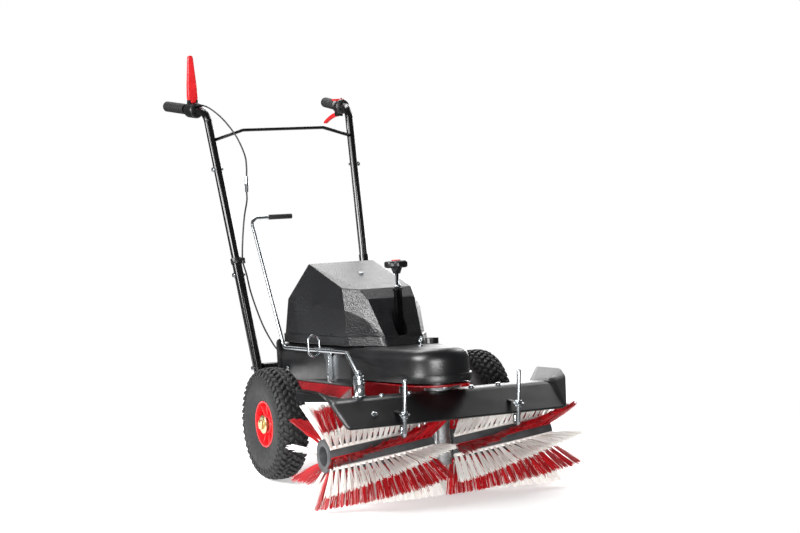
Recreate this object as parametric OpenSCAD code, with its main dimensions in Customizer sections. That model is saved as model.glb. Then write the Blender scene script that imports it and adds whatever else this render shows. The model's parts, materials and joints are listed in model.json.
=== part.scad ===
// Walk-behind power brush sweeper, millimetres, front towards -Y, standing on Z = 0.
// Places called ahead and behind are measured from the wheel axle.

/* [Wheels] */
// Outer diameter of the tyres
wheel_d = 305; // [295:1:312]
// Width of a tyre
tyre_w = 86; // [76:1:94]
// Distance between the middle planes of the two tyres
track = 622; // [612:1:640]
// Diameter of the visible rim
rim_d = 126; // [116:1:140]
// Diameter of the fixed axle
axle_d = 20; // [17:1:24]

/* [Brush] */
// Diameter over the bristle tips
brush_d = 274; // [266:1:274]
// Distance from the wheel axle forward to the brush axis
brush_ahead = 355; // [352:1:360]
// Diameter of the brush tubes
core_d = 86; // [78:1:96]
// Length of one brush tube
core_l = 298; // [270:1:300]
// Gap between the two brush tubes
core_gap = 56; // [54:1:64]
// Number of tuft rows round a tube, white and red in turn
tuft_rows = 10; // [6:2:12]
// Number of tufts in a row of one tube
tufts_in_row = 17; // [10:1:19]
// Thickness of a tuft
tuft_t = 4.4; // [3:0.1:6]
// Twist of the rows over one tube, degrees
row_twist = -46; // [-55:1:-20]
// How far the outermost tuft leans out
tuft_lean = 34; // [10:1:36]
// Diameter of the brush shaft
shaft_d = 25; // [20:1:26]

/* [Deck] */
// Nose-up pitch of the deck, degrees
pitch = 7.3; // [7:0.1:7.6]
// Height of the deck over the axle
deck_h = 240; // [239:1:243]
// Width of the deck
deck_w = 250; // [246:1:262]
// Thickness of the deck's sheet steel
sheet_t = 3; // [2:0.5:4]
// Reach of the sloped side skirts
skirt_w = 25; // [14:1:30]
// Distance from the axle to the rear end of the deck
deck_rear = 398; // [390:1:400]

/* [Belt cover] */
// Width of the belt cover
cover_w = 242; // [236:1:243]
// Height of the belt cover
cover_h = 108; // [100:1:112]
// Radius of the round nose
nose_r = 86; // [80:1:90]
// Wall of the moulded covers
wall = 4; // [3:0.5:5]
// Edge rounding of the belt cover
cover_round = 32; // [20:1:36]

/* [Hood] */
// Width of the hood at its foot
hood_w = 222; // [214:1:226]
// Width of the hood at its top
hood_top_w = 200; // [180:1:206]
// Height of the hood over the belt cover
hood_h = 226; // [216:1:240]
// Distance from the axle to the front of the hood, along the deck
hood_front = 178; // [176:1:184]
// Distance from the axle to the rear of the hood, along the deck
hood_rear = 393; // [380:1:396]

/* [Handle] */
// Height of the grip ends
grip_h = 960; // [940:1:975]
// Distance from the axle back to the grip ends
grip_behind = 952; // [940:1:970]
// Distance between the grip ends
grip_span = 534; // [520:1:550]
// Distance between the tubes at the bend
elbow_span = 466; // [460:1:474]
// Distance between the feet of the tubes
foot_span = 376; // [374:1:382]
// Outer diameter of the upper tubes
tube_d = 24; // [22:0.5:25]
// Wall of the handle tubes
tube_wall = 2; // [1.5:0.25:2.5]
// Diameter of a grip
grip_d = 32; // [30:1:35]
// Length of a grip
grip_l = 122; // [110:1:126]

/* [Guard] */
// Width of the guard over its wings
guard_w = 708; // [696:1:712]
// Height of the lower lip of the guard
lip_h = 231; // [230:1:236]
// Height of the flat top of the guard
guard_h = 284; // [283.5:0.1:285]
// Distance between the two hook rods
hook_span = 328; // [310:1:350]
// Diameter of a hook rod
hook_d = 11; // [9:0.5:11]

/* [Levers] */
// Length of the upright clutch lever
clutch_l = 138; // [120:1:150]
// Diameter of the swivel rod
rod_d = 10; // [8:0.5:11]
// Length of the finger lever
trigger_l = 104; // [80:1:110]
// Diameter of the height knob
knob_d = 60; // [50:1:66]
// Diameter of the control cable
cable_d = 5; // [4:0.5:5.5]

/* [Hidden] */
$fn = 48;

// Fits, clearances and the overrun of every cut
run_fit = 0.05;
hair = 0.01;
seat = 0.2;
clear = 0.5;
over = 2;

// Vectors
function unit(v) = v / norm(v);
function mix(a, b, share) = a + (b - a) * share;

// Places that several pieces share
wheel_r = wheel_d / 2;
brush_r = brush_d / 2;
core_r = core_d / 2;
tube_r = tube_d / 2;
lower_r = tube_r + tube_wall + run_fit;
rod_r = rod_d / 2;
hook_r = hook_d / 2;
crease_lead = 40;
crease_ahead = brush_ahead + crease_lead;
flange_lead = 1;
flange_ahead = brush_ahead + flange_lead;
lip_lead = 135;
lip_ahead = brush_ahead + lip_lead;
hook_gap = 1.8;
hook_ahead = lip_ahead + hook_gap + hook_r;
plate_nose = 11;
grip_run = 247;
elbow_behind = grip_behind - grip_run;
elbow_drop = 5;
elbow_h = grip_h - elbow_drop;
foot_behind = 424;
foot_h = 222;
front_reach = hook_ahead + plate_nose;
grip_splay = atan((grip_span - elbow_span) / 2 / (grip_behind - elbow_behind));
rear_reach = grip_behind + grip_d / 2 * sin(grip_splay);
axle_y = (front_reach - rear_reach) / 2;
swivel_lead = 7;
swivel_ahead = brush_ahead + swivel_lead;
spindle_ahead = 155;

// The machine frame starts on the floor under the axle, the deck frame on the deck above it
module machine() {
  translate([0, axle_y, 0]) children();
}
module on_deck() {
  translate([0, axle_y, deck_h]) rotate([-pitch, 0, 0]) children();
}
function deck_of(y, z) = [
  y * cos(pitch) - (z - deck_h) * sin(pitch),
  y * sin(pitch) + (z - deck_h) * cos(pitch)
];
axle_spot = deck_of(0, wheel_r);
brush_spot = deck_of(-brush_ahead, brush_r);
function both(p, side) = [side * p[0], p[1], p[2]];

// A straight round bar between two points
module bar(a, b, r) {
  d = b - a;
  translate(a)
    rotate([0, acos(d[2] / norm(d)), atan2(d[1], d[0])])
      cylinder(r = r, h = norm(d));
}

// One bend of a round bar that starts at a and turns from d1 to d2
module bend(a, d1, d2, bend_r, r) {
  inward = unit(d2 - d1 * (d1 * d2));
  axis = cross(d1, inward);
  middle = a + inward * bend_r;
  multmatrix([
    [-inward[0], d1[0], axis[0], middle[0]],
    [-inward[1], d1[1], axis[1], middle[1]],
    [-inward[2], d1[2], axis[2], middle[2]],
    [0, 0, 0, 1]
  ])
    rotate_extrude(angle = acos(d1 * d2))
      translate([bend_r, 0]) circle(r = r);
}

// A round bar along a list of points, with equal bends at the inner points
module bent_bar(points, r, bend_r) {
  n = len(points) - 1;
  dirs = [for (i = [0:n - 1]) unit(points[i + 1] - points[i])];
  trims = [for (i = [0:n]) (i == 0 || i == n) ? 0 : bend_r * tan(acos(dirs[i - 1] * dirs[i]) / 2)];
  for (i = [0:n - 1])
    bar(
      points[i] + dirs[i] * (i == 0 ? 0 : trims[i] + hair),
      points[i + 1] - dirs[i] * (i == n - 1 ? 0 : trims[i + 1] + hair),
      r
    );
  for (i = [1:n - 1])
    bend(points[i] - dirs[i - 1] * trims[i], dirs[i - 1], dirs[i], bend_r, r);
}

// A hexagon bolt head on its washer, standing on the origin along +Z
washer_share = 2;
washer_t = 1.5;
head_share = 1.7;
module bolt_head(r) {
  cylinder(r = r * washer_share, h = washer_t);
  translate([0, 0, washer_t]) cylinder(r = r * head_share, h = r, $fn = 6);
}

// Chassis frame: folded deck, sloped skirts, joggled tongue, axle brackets
tongue_rise = 14;
tongue_rear = 92;
tongue_w = 176;
skirt_front = 88;
skirt_rear = 302;
skirt_bevel = 30;
axle_bracket_x = 104;
axle_bracket_l = 84;
axle_boss = 9;
swivel_boss_r = 46;
swivel_boss_h = 9;
journal_r = 30;
spindle_tube_r = 11;

module skirt() {
  fold = sheet_t / cos(45);
  difference() {
    translate([-deck_w / 2, skirt_rear, 0])
      rotate([90, 0, 0])
        linear_extrude(skirt_rear + skirt_front)
          polygon([[0, 0], [-skirt_w, -skirt_w], [-skirt_w, -skirt_w - fold], [0, -fold]]);
    for (y = [-skirt_front, skirt_rear])
      translate([-deck_w / 2 - skirt_w, y, -skirt_w])
        rotate([0, 0, 45])
          cube([skirt_bevel, skirt_bevel, 3 * skirt_w], center = true);
  }
}

module axle_bracket() {
  boss_r = axle_d / 2 + axle_boss;
  translate([axle_bracket_x, 0, 0])
    rotate([90, 0, 90])
      linear_extrude(2 * sheet_t)
        difference() {
          union() {
            polygon([
              [axle_spot[0] - axle_bracket_l, -sheet_t], [axle_spot[0] + axle_bracket_l, -sheet_t],
              [axle_spot[0] + boss_r, axle_spot[1]], [axle_spot[0] - boss_r, axle_spot[1]]
            ]);
            translate(axle_spot) circle(r = boss_r);
          }
          translate(axle_spot) circle(r = axle_d / 2 + run_fit);
        }
}

module chassis_frame() color("firebrick") on_deck() {
  difference() {
    union() {
      translate([-deck_w / 2, -tongue_rear, -sheet_t])
        cube([deck_w, tongue_rear + deck_rear, sheet_t]);
      translate([-tongue_w / 2, -tongue_rear, -sheet_t])
        cube([tongue_w, sheet_t, tongue_rise + sheet_t]);
      translate([-tongue_w / 2, -swivel_ahead, tongue_rise - sheet_t])
        cube([tongue_w, swivel_ahead - tongue_rear + sheet_t, sheet_t]);
      translate([0, -swivel_ahead, tongue_rise - sheet_t])
        cylinder(r = tongue_w / 2 - sheet_t, h = sheet_t);
      translate([0, -swivel_ahead, tongue_rise - swivel_boss_h])
        cylinder(r = swivel_boss_r, h = swivel_boss_h);
      translate([arm_x, -arm_ahead, tongue_rise - sheet_t])
        cylinder(r = arm_pin_r, h = arm_lift + arm_t - tongue_rise + sheet_t);
    }
    translate([0, -swivel_ahead, -tongue_rise])
      cylinder(r = journal_r + run_fit, h = 3 * tongue_rise);
    translate([0, -spindle_ahead, -tongue_rise])
      cylinder(r = spindle_tube_r + run_fit, h = 3 * tongue_rise);
  }
  for (s = [0, 1]) mirror([s, 0, 0]) {
    skirt();
    axle_bracket();
  }
}

// Wheels and axle
wheel_x = track / 2;
hub_wall = 6;
hub_flange_r = 25;
hub_flange_t = 4;
cap_r = 17;
cap_h = 9;
cap_top_share = 0.7;
rim_w = 64;
rim_step = 10;
dish_depth = 13;
rim_holes = 8;
rim_hole_r = 8.5;
rim_hole_share = 0.62;
tread_h = 6;
groove_w = 6;
shoulder = 21;
carcass = 13;
bead_relief = 9;
axle_end = wheel_x + rim_w / 2;

module wheel_axle() color("silver") machine()
  translate([-axle_end, 0, wheel_r]) rotate([0, 90, 0]) cylinder(d = axle_d, h = 2 * axle_end);

module on_wheel(side) {
  machine() translate([side * wheel_x, 0, wheel_r]) rotate([0, side * 90, 0]) children();
}

module tyre(side) color("dimgray") on_wheel(side)
  rotate_extrude()
    difference() {
      translate([rim_d / 2 + seat, -tyre_w / 2]) square([wheel_r - rim_d / 2 - seat, tyre_w]);
      for (s = [-1, 1]) {
        translate([wheel_r, s * tyre_w / 2]) rotate([0, 0, 45]) square(shoulder, center = true);
        translate([rim_d / 2, s * tyre_w / 2]) square(2 * bead_relief, center = true);
        translate([wheel_r, s * tyre_w / 6]) square([2 * tread_h, groove_w], center = true);
      }
      translate([rim_d / 2 - over, carcass - tyre_w / 2])
        square([wheel_r - rim_d / 2 - carcass - tread_h + over, tyre_w - 2 * carcass]);
    }
module tyre_left() tyre(-1);
module tyre_right() tyre(1);

module rim(side) color("crimson") on_wheel(side)
  difference() {
    rotate_extrude()
      difference() {
        translate([axle_d / 2 + hub_wall, -rim_w / 2])
          square([rim_d / 2 - axle_d / 2 - hub_wall, rim_w]);
        for (s = [-1, 1])
          translate([hub_flange_r, s * rim_w / 2 - dish_depth])
            square([rim_d / 2 - rim_step - hub_flange_r, 2 * dish_depth]);
      }
    for (k = [0:rim_holes - 1])
      rotate([0, 0, k * 360 / rim_holes])
        translate([mix(hub_flange_r, rim_d / 2 - rim_step, rim_hole_share), 0, -rim_w])
          cylinder(r = rim_hole_r, h = 2 * rim_w);
  }
module rim_left() rim(-1);
module rim_right() rim(1);

module hub(side) color("goldenrod") on_wheel(side) {
  sleeve_r = axle_d / 2 + hub_wall - seat;
  face = rim_w / 2 + seat;
  difference() {
    rotate_extrude() polygon([
      [0, -rim_w / 2], [sleeve_r, -rim_w / 2], [sleeve_r, face], [hub_flange_r, face],
      [hub_flange_r, face + hub_flange_t], [cap_r, face + hub_flange_t],
      [cap_r * cap_top_share, face + hub_flange_t + cap_h], [0, face + hub_flange_t + cap_h]
    ]);
    translate([0, 0, -rim_w / 2 - over])
      cylinder(r = axle_d / 2 + run_fit, h = rim_w + over + clear);
  }
}
module hub_left() hub(-1);
module hub_right() hub(1);

// Belt cover: tapered shell with a round nose, open below, with a well under the hood
nose_lift = 20;
lip_band = 20;
lip_out = 6;
taper_ahead = 80;
taper_fn = 40;
well_w = 196;
well_front = 118;
well_rear = 376;
hump_r = 18;
hump_h = 15;
hump_x = 74;
hump_ahead = 196;

module rounded_slab(w, foot, top, r) {
  hull() {
    translate([0, -swivel_ahead, 0])
      rotate_extrude($fn = taper_fn) union() {
        translate([0, foot]) square([nose_r - (cover_w / 2 - w), top - r - foot]);
        translate([nose_r - (cover_w / 2 - w) - r, top - r]) circle(r = r, $fn = taper_fn);
      }
    for (s = [-1, 1]) {
      translate([s * (w - r), deck_rear - (cover_w / 2 - w), top - r])
        rotate([90, 0, 0]) cylinder(r = r, h = deck_rear + taper_ahead, $fn = taper_fn);
      translate([s * w - (s + 1) / 2 * wall, -taper_ahead, foot])
        cube([wall, deck_rear + taper_ahead - (cover_w / 2 - w), top - r - foot]);
    }
  }
}

module base_cover() color("#26282b") on_deck()
  difference() {
    union() {
      rounded_slab(cover_w / 2, nose_lift, cover_h, cover_round);
      translate([-cover_w / 2, -tongue_rear + sheet_t + clear, 0])
        cube([cover_w, deck_rear + tongue_rear - sheet_t - clear, nose_lift + over]);
      translate([0, -swivel_ahead, nose_lift])
        cylinder(r = nose_r + lip_out, h = lip_band);
      translate([hump_x, -hump_ahead, cover_h - cover_round / 2])
        cylinder(r = hump_r, h = cover_round / 2 + hump_h);
    }
    rounded_slab(cover_w / 2 - wall, -over, cover_h - wall, cover_round - wall);
    translate([-well_w / 2, -well_front, cover_h - 2 * wall])
      cube([well_w, well_front + well_rear, 4 * wall]);
    translate([0, -spindle_ahead, 0])
      cylinder(r = spindle_tube_r + seat, h = 2 * cover_h);
  }

// Hood: rounded faceted moulding over a lip band, cut hollow, with a pocket for the spindle tube
hood_foot = cover_h + seat;
hood_round = 9;
band_h = 26;
band_out = 3;
corner_fn = 12;
hood_side_front = 43;
hood_panel_w = 112;
hood_panel_top_w = 156;
hood_flare = 14;
rear_mid_shares = [0.89, 0.56];
top_rear_share = 0.535;
corner_shares = [0.5, 0.7];
edge_share = 0.44;
panel_top_shares = [0.43, 0.68];
panel_mid_shares = [0.63, 0.56];
panel_low_shares = [0.97, 0.13];

// Corner points of one half, drawn in from the outside by an inset
function hood_points(inset) = let (
  w = hood_w / 2 - inset,
  t = hood_top_w / 2 - inset,
  z0 = hood_foot,
  z1 = hood_foot + hood_h - inset,
  rear = hood_rear - inset,
  front = -(hood_front - inset),
  p = hood_panel_w / 2 - inset
) [
  [w, rear, z0],
  [w, rear * rear_mid_shares[0], mix(z0, z1, rear_mid_shares[1])],
  [t, rear * top_rear_share, z1],
  [mix(t, w, corner_shares[0]), -hood_side_front * corner_shares[0] + inset, mix(z0, z1, corner_shares[1])],
  [w, -hood_side_front + inset, mix(z0, z1, edge_share)],
  [w, -hood_side_front + inset, z0],
  [hood_panel_top_w / 2 - inset, front * panel_top_shares[0], mix(z0, z1, panel_top_shares[1])],
  [p + hood_flare, front * panel_mid_shares[0], mix(z0, z1, panel_mid_shares[1])],
  [p, front * panel_low_shares[0], mix(z0, z1, panel_low_shares[1])],
  [p, front, z0]
];

module hood_body(inset, r, foot) {
  hull()
    for (p = hood_points(inset + r), s = [-1, 1])
      translate([s * p[0], p[1], p[2] == hood_foot ? foot : p[2]])
        if (p[2] == hood_foot) cylinder(r = r, h = r, $fn = corner_fn);
        else sphere(r = r, $fn = corner_fn);
}

module hood_band() {
  hull()
    for (p = hood_points(hood_round - band_out), s = [-1, 1])
      if (p[2] == hood_foot)
        translate([s * p[0], p[1], p[2]]) cylinder(r = hood_round, h = band_h, $fn = corner_fn);
}

module hood() color("#1f2123") on_deck()
  difference() {
    union() {
      hood_body(0, hood_round, hood_foot);
      hood_band();
    }
    hood_body(wall, hood_round - wall, hood_foot - over);
    translate([0, -spindle_ahead, hood_foot - over])
      cylinder(r = spindle_tube_r + seat, h = hood_h);
  }

screw_behind = 74;
screw_r = 7;
screw_h = 3;
slot_w = 1.6;
hood_core = hood_points(hood_round);
hood_slope = atan((hood_core[2][2] - hood_core[6][2]) / (hood_core[2][1] - hood_core[6][1]));
hood_top_at = hood_core[2][2] - (hood_core[2][1] - screw_behind) * tan(hood_slope)
  + hood_round / cos(hood_slope);
module hood_screw()
  translate([0, screw_behind, hood_top_at]) rotate([hood_slope, 0, 0])
    translate([0, 0, seat])
      difference() {
        cylinder(r = screw_r, h = screw_h);
        translate([-screw_r - over, -slot_w / 2, screw_h / 2])
          cube([2 * screw_r + 2 * over, slot_w, screw_h]);
      }

eye_trail = 85;
eye_ahead = swivel_ahead - eye_trail;
eye_r = 7;
eye_wire_r = 2.5;
eye_stem = 16;
eye_foot_r = 7;
eye_foot_t = 3;
module eye_bolt() color("goldenrod") on_deck()
  translate([0, -eye_ahead, cover_h]) {
    cylinder(r = eye_foot_r, h = eye_foot_t, $fn = 6);
    cylinder(r = eye_wire_r, h = eye_stem - eye_r);
    translate([0, 0, eye_stem]) rotate([0, 90, 0])
      rotate_extrude() translate([eye_r, 0]) circle(r = eye_wire_r, $fn = 16);
  }

// Rear bracket and the handle
post_w = 26;
post_t = 6;
post_x = 121;
post_foot = 10;
post_top = 118;
lug_x = 96;
lug_w = 24;
lug_h = 20;
cross_spot = deck_of(foot_behind, foot_h);
cross_wall = 2.5;
cross_gap = 1.2;
foot_below = 22;
joint_h = 520;
sleeve_l = 70;
bend_r = 46;
bolt_r = 4;
top_bolt_h = 788;
foot_x = foot_span / 2;
elbow = [elbow_span / 2, elbow_behind, elbow_h];
foot = [foot_x, foot_behind, foot_h];
grip_end = [grip_span / 2, grip_behind, grip_h];
up = unit(elbow - foot);
back = unit(grip_end - elbow);
bend_trim = bend_r * tan(acos(up * back) / 2);
function tube_at(h) = foot + (elbow - foot) * (h - foot_h) / (elbow_h - foot_h);
function grip_at(y) = elbow + (grip_end - elbow) * (y - elbow_behind) / (grip_behind - elbow_behind);
cross_end = foot_x - lower_r - cross_gap;

module rear_bracket() color("#303236") on_deck()
  difference() {
    union() {
      translate([0, deck_rear + seat + post_t, 0]) rotate([90, 0, 0])
        linear_extrude(post_t) {
          translate([-post_x, post_foot]) square([2 * post_x, cross_spot[1] + lower_r]);
          for (s = [-1, 1]) {
            translate([s * post_x - post_w / 2, post_foot])
              square([post_w, post_top - post_foot - post_w / 2]);
            translate([s * post_x, post_top - post_w / 2]) circle(r = post_w / 2);
          }
        }
      for (s = [-1, 1])
        translate([s * lug_x - lug_w / 2, deck_rear + seat + post_t / 2, cross_spot[1] - lug_h / 2])
          cube([lug_w, cross_spot[0] - deck_rear - seat - post_t / 2, lug_h]);
    }
    translate([-cross_end, cross_spot[0], cross_spot[1]])
      rotate([0, 90, 0]) cylinder(r = lower_r + seat, h = 2 * cross_end);
  }

module handle_crossmember() color("#1c1c1e") machine()
  difference() {
    translate([-cross_end, foot_behind, foot_h]) rotate([0, 90, 0]) cylinder(r = lower_r, h = 2 * cross_end);
    translate([-cross_end - over, foot_behind, foot_h]) rotate([0, 90, 0])
      cylinder(r = lower_r - cross_wall, h = 2 * cross_end + 2 * over);
  }

// Cross holes for the handle's through bolts
module bolt_holes(side) {
  for (h = [foot_h, joint_h - sleeve_l / 2, top_bolt_h])
    translate(both(tube_at(h), side)) rotate([0, 90, 0])
      cylinder(r = bolt_r + run_fit, h = 4 * lower_r, center = true);
}

module lower_tube(side) color("#1c1c1e") machine()
  difference() {
    bar(both(foot - up * foot_below, side), both(tube_at(joint_h), side), lower_r);
    bar(both(foot - up * (foot_below + over), side), both(tube_at(joint_h + over), side), tube_r + run_fit);
    bolt_holes(side);
  }
module lower_tube_left() lower_tube(-1);
module lower_tube_right() lower_tube(1);

module upper_tube(side) color("#1c1c1e") machine() {
  a = both(tube_at(joint_h - sleeve_l), side);
  b = both(elbow - up * bend_trim, side);
  c = both(elbow + back * bend_trim, side);
  d = both(grip_end - back * (tube_wall + seat), side);
  rise = both(up, side);
  run = both(back, side);
  difference() {
    bar(a, b - rise * hair, tube_r);
    bar(a - rise * over, b + rise * over, tube_r - tube_wall);
    bolt_holes(side);
  }
  bend(b, rise, run, bend_r, tube_r);
  difference() {
    bar(c + run * hair, d, tube_r);
    bar(c - run * over, d + run * over, tube_r - tube_wall);
  }
}
module upper_tube_left() upper_tube(-1);
module upper_tube_right() upper_tube(1);

crossbar_h = 872;
crossbar_rise = 29;
crossbar_x = 131;
crossbar_r = 5;
crossbar_bend = 24;
module crossbar() color("#1c1c1e") machine() {
  inner = tube_at(crossbar_h);
  reach = tube_r + crossbar_r * sin(grip_splay) + seat;
  end = [inner[0] - reach, inner[1] - reach / 2, inner[2]];
  mid = [crossbar_x, end[1], crossbar_h + crossbar_rise];
  difference() {
    bent_bar([both([inner[0], end[1], inner[2]], -1), both(mid, -1), mid, [inner[0], end[1], inner[2]]],
      crossbar_r, crossbar_bend);
    for (s = [-1, 1])
      bar(both(tube_at(crossbar_h - 2 * reach), s), both(tube_at(crossbar_h + 2 * reach), s), tube_r + seat);
  }
}

module handle_bolts() color("silver") machine()
  for (s = [-1, 1], h = [foot_h, joint_h - sleeve_l / 2, top_bolt_h]) {
    span = (h == top_bolt_h ? tube_r : lower_r) + clear;
    tail = h == foot_h ? 0 : bolt_r;
    translate(both(tube_at(h), s)) rotate([0, s * 90, 0]) {
      translate([0, 0, -span - tail]) cylinder(r = bolt_r, h = 2 * span + tail);
      translate([0, 0, span]) bolt_head(bolt_r);
    }
  }

rib_n = 9;
rib_h = 1.2;
grip_wall = 3;
module grip(side) color("#141414") machine()
  translate(both(grip_end, side))
    rotate([0, acos(-back[2]), atan2(-back[1], -side * back[0])])
      difference() {
        rotate_extrude() {
          square([grip_d / 2 - rib_h, grip_l]);
          for (k = [0:rib_n])
            translate([0, k * grip_l * 2 / (2 * rib_n + 1)]) square([grip_d / 2, grip_l / (2 * rib_n + 1)]);
        }
        translate([0, 0, tube_wall]) cylinder(r = tube_r + run_fit, h = grip_l);
      }
module grip_left() grip(-1);
module grip_right() grip(1);

// Clamps and levers on the handle
clamp_at = 790;
clamp_l = 28;
clamp_wall = 5;
pivot_lift = 27;
pin_r = 4;
ear_t = 5;
blade_t = 8;
clutch_t = 18;
lever_foot_r = 9;
lever_tip_r = 7;
stop_at = 746;
stop_r = 6;
stop_lift = 19;
clutch_clamp = both(grip_at(clamp_at), -1);
clutch_pivot = clutch_clamp + [0, 0, pivot_lift];
trigger_clamp = grip_at(clamp_at);
trigger_pivot = trigger_clamp + [0, clamp_l / 2 + pin_r, -pivot_lift];

module tube_clamp(side) {
  a = both(grip_at(clamp_at - clamp_l / 2), side);
  b = both(grip_at(clamp_at + clamp_l / 2), side);
  bar(a, b, tube_r + clamp_wall);
}
module tube_hole(side) {
  reach = 2 * clamp_l;
  bar(both(grip_at(clamp_at - reach), side), both(grip_at(clamp_at + reach), side), tube_r + run_fit);
}

module clutch_bracket() color("#1a1a1a") machine() {
  stop = both(grip_at(stop_at), -1) + [0, 0, stop_lift];
  difference() {
    union() {
      tube_clamp(-1);
      for (s = [-1, 1])
        translate(clutch_clamp + [s * (clutch_t / 2 + seat + ear_t / 2) - ear_t / 2, -lever_foot_r, 0])
          cube([ear_t, 2 * lever_foot_r, pivot_lift + pin_r + clear]);
      translate([clutch_clamp[0], stop[1], 0]) translate([-ear_t, 0, stop[2] - stop_r / 2])
        cube([2 * ear_t, clamp_at - stop_at, stop_r / 2]);
    }
    tube_hole(-1);
    translate(clutch_pivot) rotate([0, 90, 0])
      cylinder(r = lever_foot_r + clear, h = clutch_t + 2 * seat, center = true);
  }
  translate(clutch_pivot - [clutch_t / 2 + seat + ear_t, 0, 0]) rotate([0, 90, 0])
    cylinder(r = pin_r, h = clutch_t + 2 * seat + 2 * ear_t);
}

module clutch_lever() color("red") machine()
  translate(clutch_pivot) rotate([0, -90, 0])
    translate([0, 0, -clutch_t / 2])
      linear_extrude(clutch_t)
        difference() {
          union() {
            circle(r = lever_foot_r);
            polygon([
              [0, -lever_foot_r], [clutch_l - lever_tip_r, -lever_tip_r],
              [clutch_l - lever_tip_r, lever_tip_r], [0, lever_foot_r]
            ]);
            translate([clutch_l - lever_tip_r, 0]) circle(r = lever_tip_r);
          }
          circle(r = pin_r + run_fit);
        }

thumb_pin_r = 3;
thumb_pin_h = 12;
thumb_l = 30;
thumb_w = 9;
thumb_t = 6;
thumb_shift = 8;
thumb_spot = trigger_clamp + [0, -thumb_shift, tube_r + clamp_wall];
module trigger_bracket() color("#1a1a1a") machine() {
  difference() {
    union() {
      tube_clamp(1);
      for (s = [-1, 1])
        translate([s * (blade_t / 2 + seat + ear_t / 2) - ear_t / 2, 0, -pivot_lift - pin_r - clear])
          translate(trigger_clamp) cube([ear_t, clamp_l / 2 + 2 * pin_r, pivot_lift + pin_r + clear]);
    }
    tube_hole(1);
  }
  translate(trigger_pivot - [blade_t / 2 + seat + ear_t, 0, 0]) rotate([0, 90, 0])
    cylinder(r = pin_r, h = blade_t + 2 * seat + 2 * ear_t);
  translate(thumb_spot - [0, 0, clamp_wall / 2]) cylinder(r = thumb_pin_r, h = thumb_pin_h);
}

trigger_drop = 11;
trigger_foot_r = 7;
trigger_tip_r = 5;
module trigger_lever() color("red") machine()
  translate(trigger_pivot) rotate([-trigger_drop, 0, 0])
    rotate([0, 90, 0])
      translate([0, 0, -blade_t / 2])
        linear_extrude(blade_t)
          difference() {
            union() {
              circle(r = trigger_foot_r);
              polygon([
                [trigger_foot_r, 0], [trigger_tip_r, trigger_l - trigger_tip_r],
                [-trigger_tip_r, trigger_l - trigger_tip_r], [-trigger_foot_r, 0]
              ]);
              translate([0, trigger_l - trigger_tip_r]) circle(r = trigger_tip_r);
            }
            circle(r = pin_r + run_fit);
          }

module thumb_lever() color("red") machine()
  translate(thumb_spot + [0, 0, clear])
    difference() {
      union() {
        cylinder(r = thumb_w, h = thumb_t);
        translate([0, -thumb_w / 2, 0]) mirror([1, 0, 0]) cube([thumb_l, thumb_w, thumb_t]);
      }
      translate([0, 0, -over]) cylinder(r = thumb_pin_r + run_fit, h = thumb_t + 2 * over);
    }

// Control cable: one sweep along its route, machine frame
cable_sides = 8;
cable_steps = 4;
cable_route = [
  [-239, 746, 975], [-226, 700, 968], [-206, 640, 938], [-186, 584, 890], [-171, 554, 836],
  [-168, 548, 800], [-168, 548, 776], [-168, 548, 724], [-168, 548, 700], [-174, 555, 650],
  [-182, 550, 580], [-187, 538, 525], [-181, 524, 486], [-176, 500, 430], [-158, 462, 346],
  [-136, 436, 290], [-124, 424, 270.5], [-122, 411.5, 268]
];
function spline(p, i, t) = let (
  n = len(p) - 1,
  a = p[max(i - 1, 0)],
  b = p[i],
  c = p[min(i + 1, n)],
  d = p[min(i + 2, n)]
) (2 * b + (c - a) * t + (2 * a - 5 * b + 4 * c - d) * t * t + (3 * b - a - 3 * c + d) * t * t * t) / 2;
cable_line = concat(
  [for (i = [0:len(cable_route) - 2], k = [0:cable_steps - 1]) spline(cable_route, i, k / cable_steps)],
  [cable_route[len(cable_route) - 1]]
);

// Rings of points along a line, held square to it, with the X axis as a guide
function sweep_ring(line, i, r, sides) = let (
  n = len(line) - 1,
  d = unit(line[min(i + 1, n)] - line[max(i - 1, 0)]),
  u = unit(cross(d, [1, 0, 0])),
  v = cross(d, u)
) [for (k = [0:sides - 1]) line[i] + r * (u * cos(k * 360 / sides) + v * sin(k * 360 / sides))];

module sweep(line, r, sides) {
  n = len(line);
  polyhedron(
    points = [for (i = [0:n - 1], p = sweep_ring(line, i, r, sides)) p],
    faces = concat(
      [for (k = [1:sides - 2]) [0, k + 1, k]],
      [for (k = [1:sides - 2]) [(n - 1) * sides, (n - 1) * sides + k, (n - 1) * sides + k + 1]],
      [for (i = [0:n - 2], k = [0:sides - 1])
        [i * sides + k, i * sides + (k + 1) % sides, (i + 1) * sides + k]],
      [for (i = [0:n - 2], k = [0:sides - 1])
        [i * sides + (k + 1) % sides, (i + 1) * sides + (k + 1) % sides, (i + 1) * sides + k]]
    )
  );
}

module bowden_cable() color("#111111") machine() sweep(cable_line, cable_d / 2, cable_sides);

adjuster_l = 46;
adjuster_r = 5;
adjuster_nut_r = 7;
adjuster_nut_l = 8;
module cable_adjuster() color("silver") machine()
  translate(mix(cable_route[6], cable_route[7], 1 / 2))
    difference() {
      union() {
        cylinder(r = adjuster_r, h = adjuster_l, center = true);
        cylinder(r = adjuster_nut_r, h = adjuster_nut_l, center = true, $fn = 6);
      }
      cylinder(r = cable_d / 2 + run_fit, h = adjuster_l + over, center = true);
    }

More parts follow.
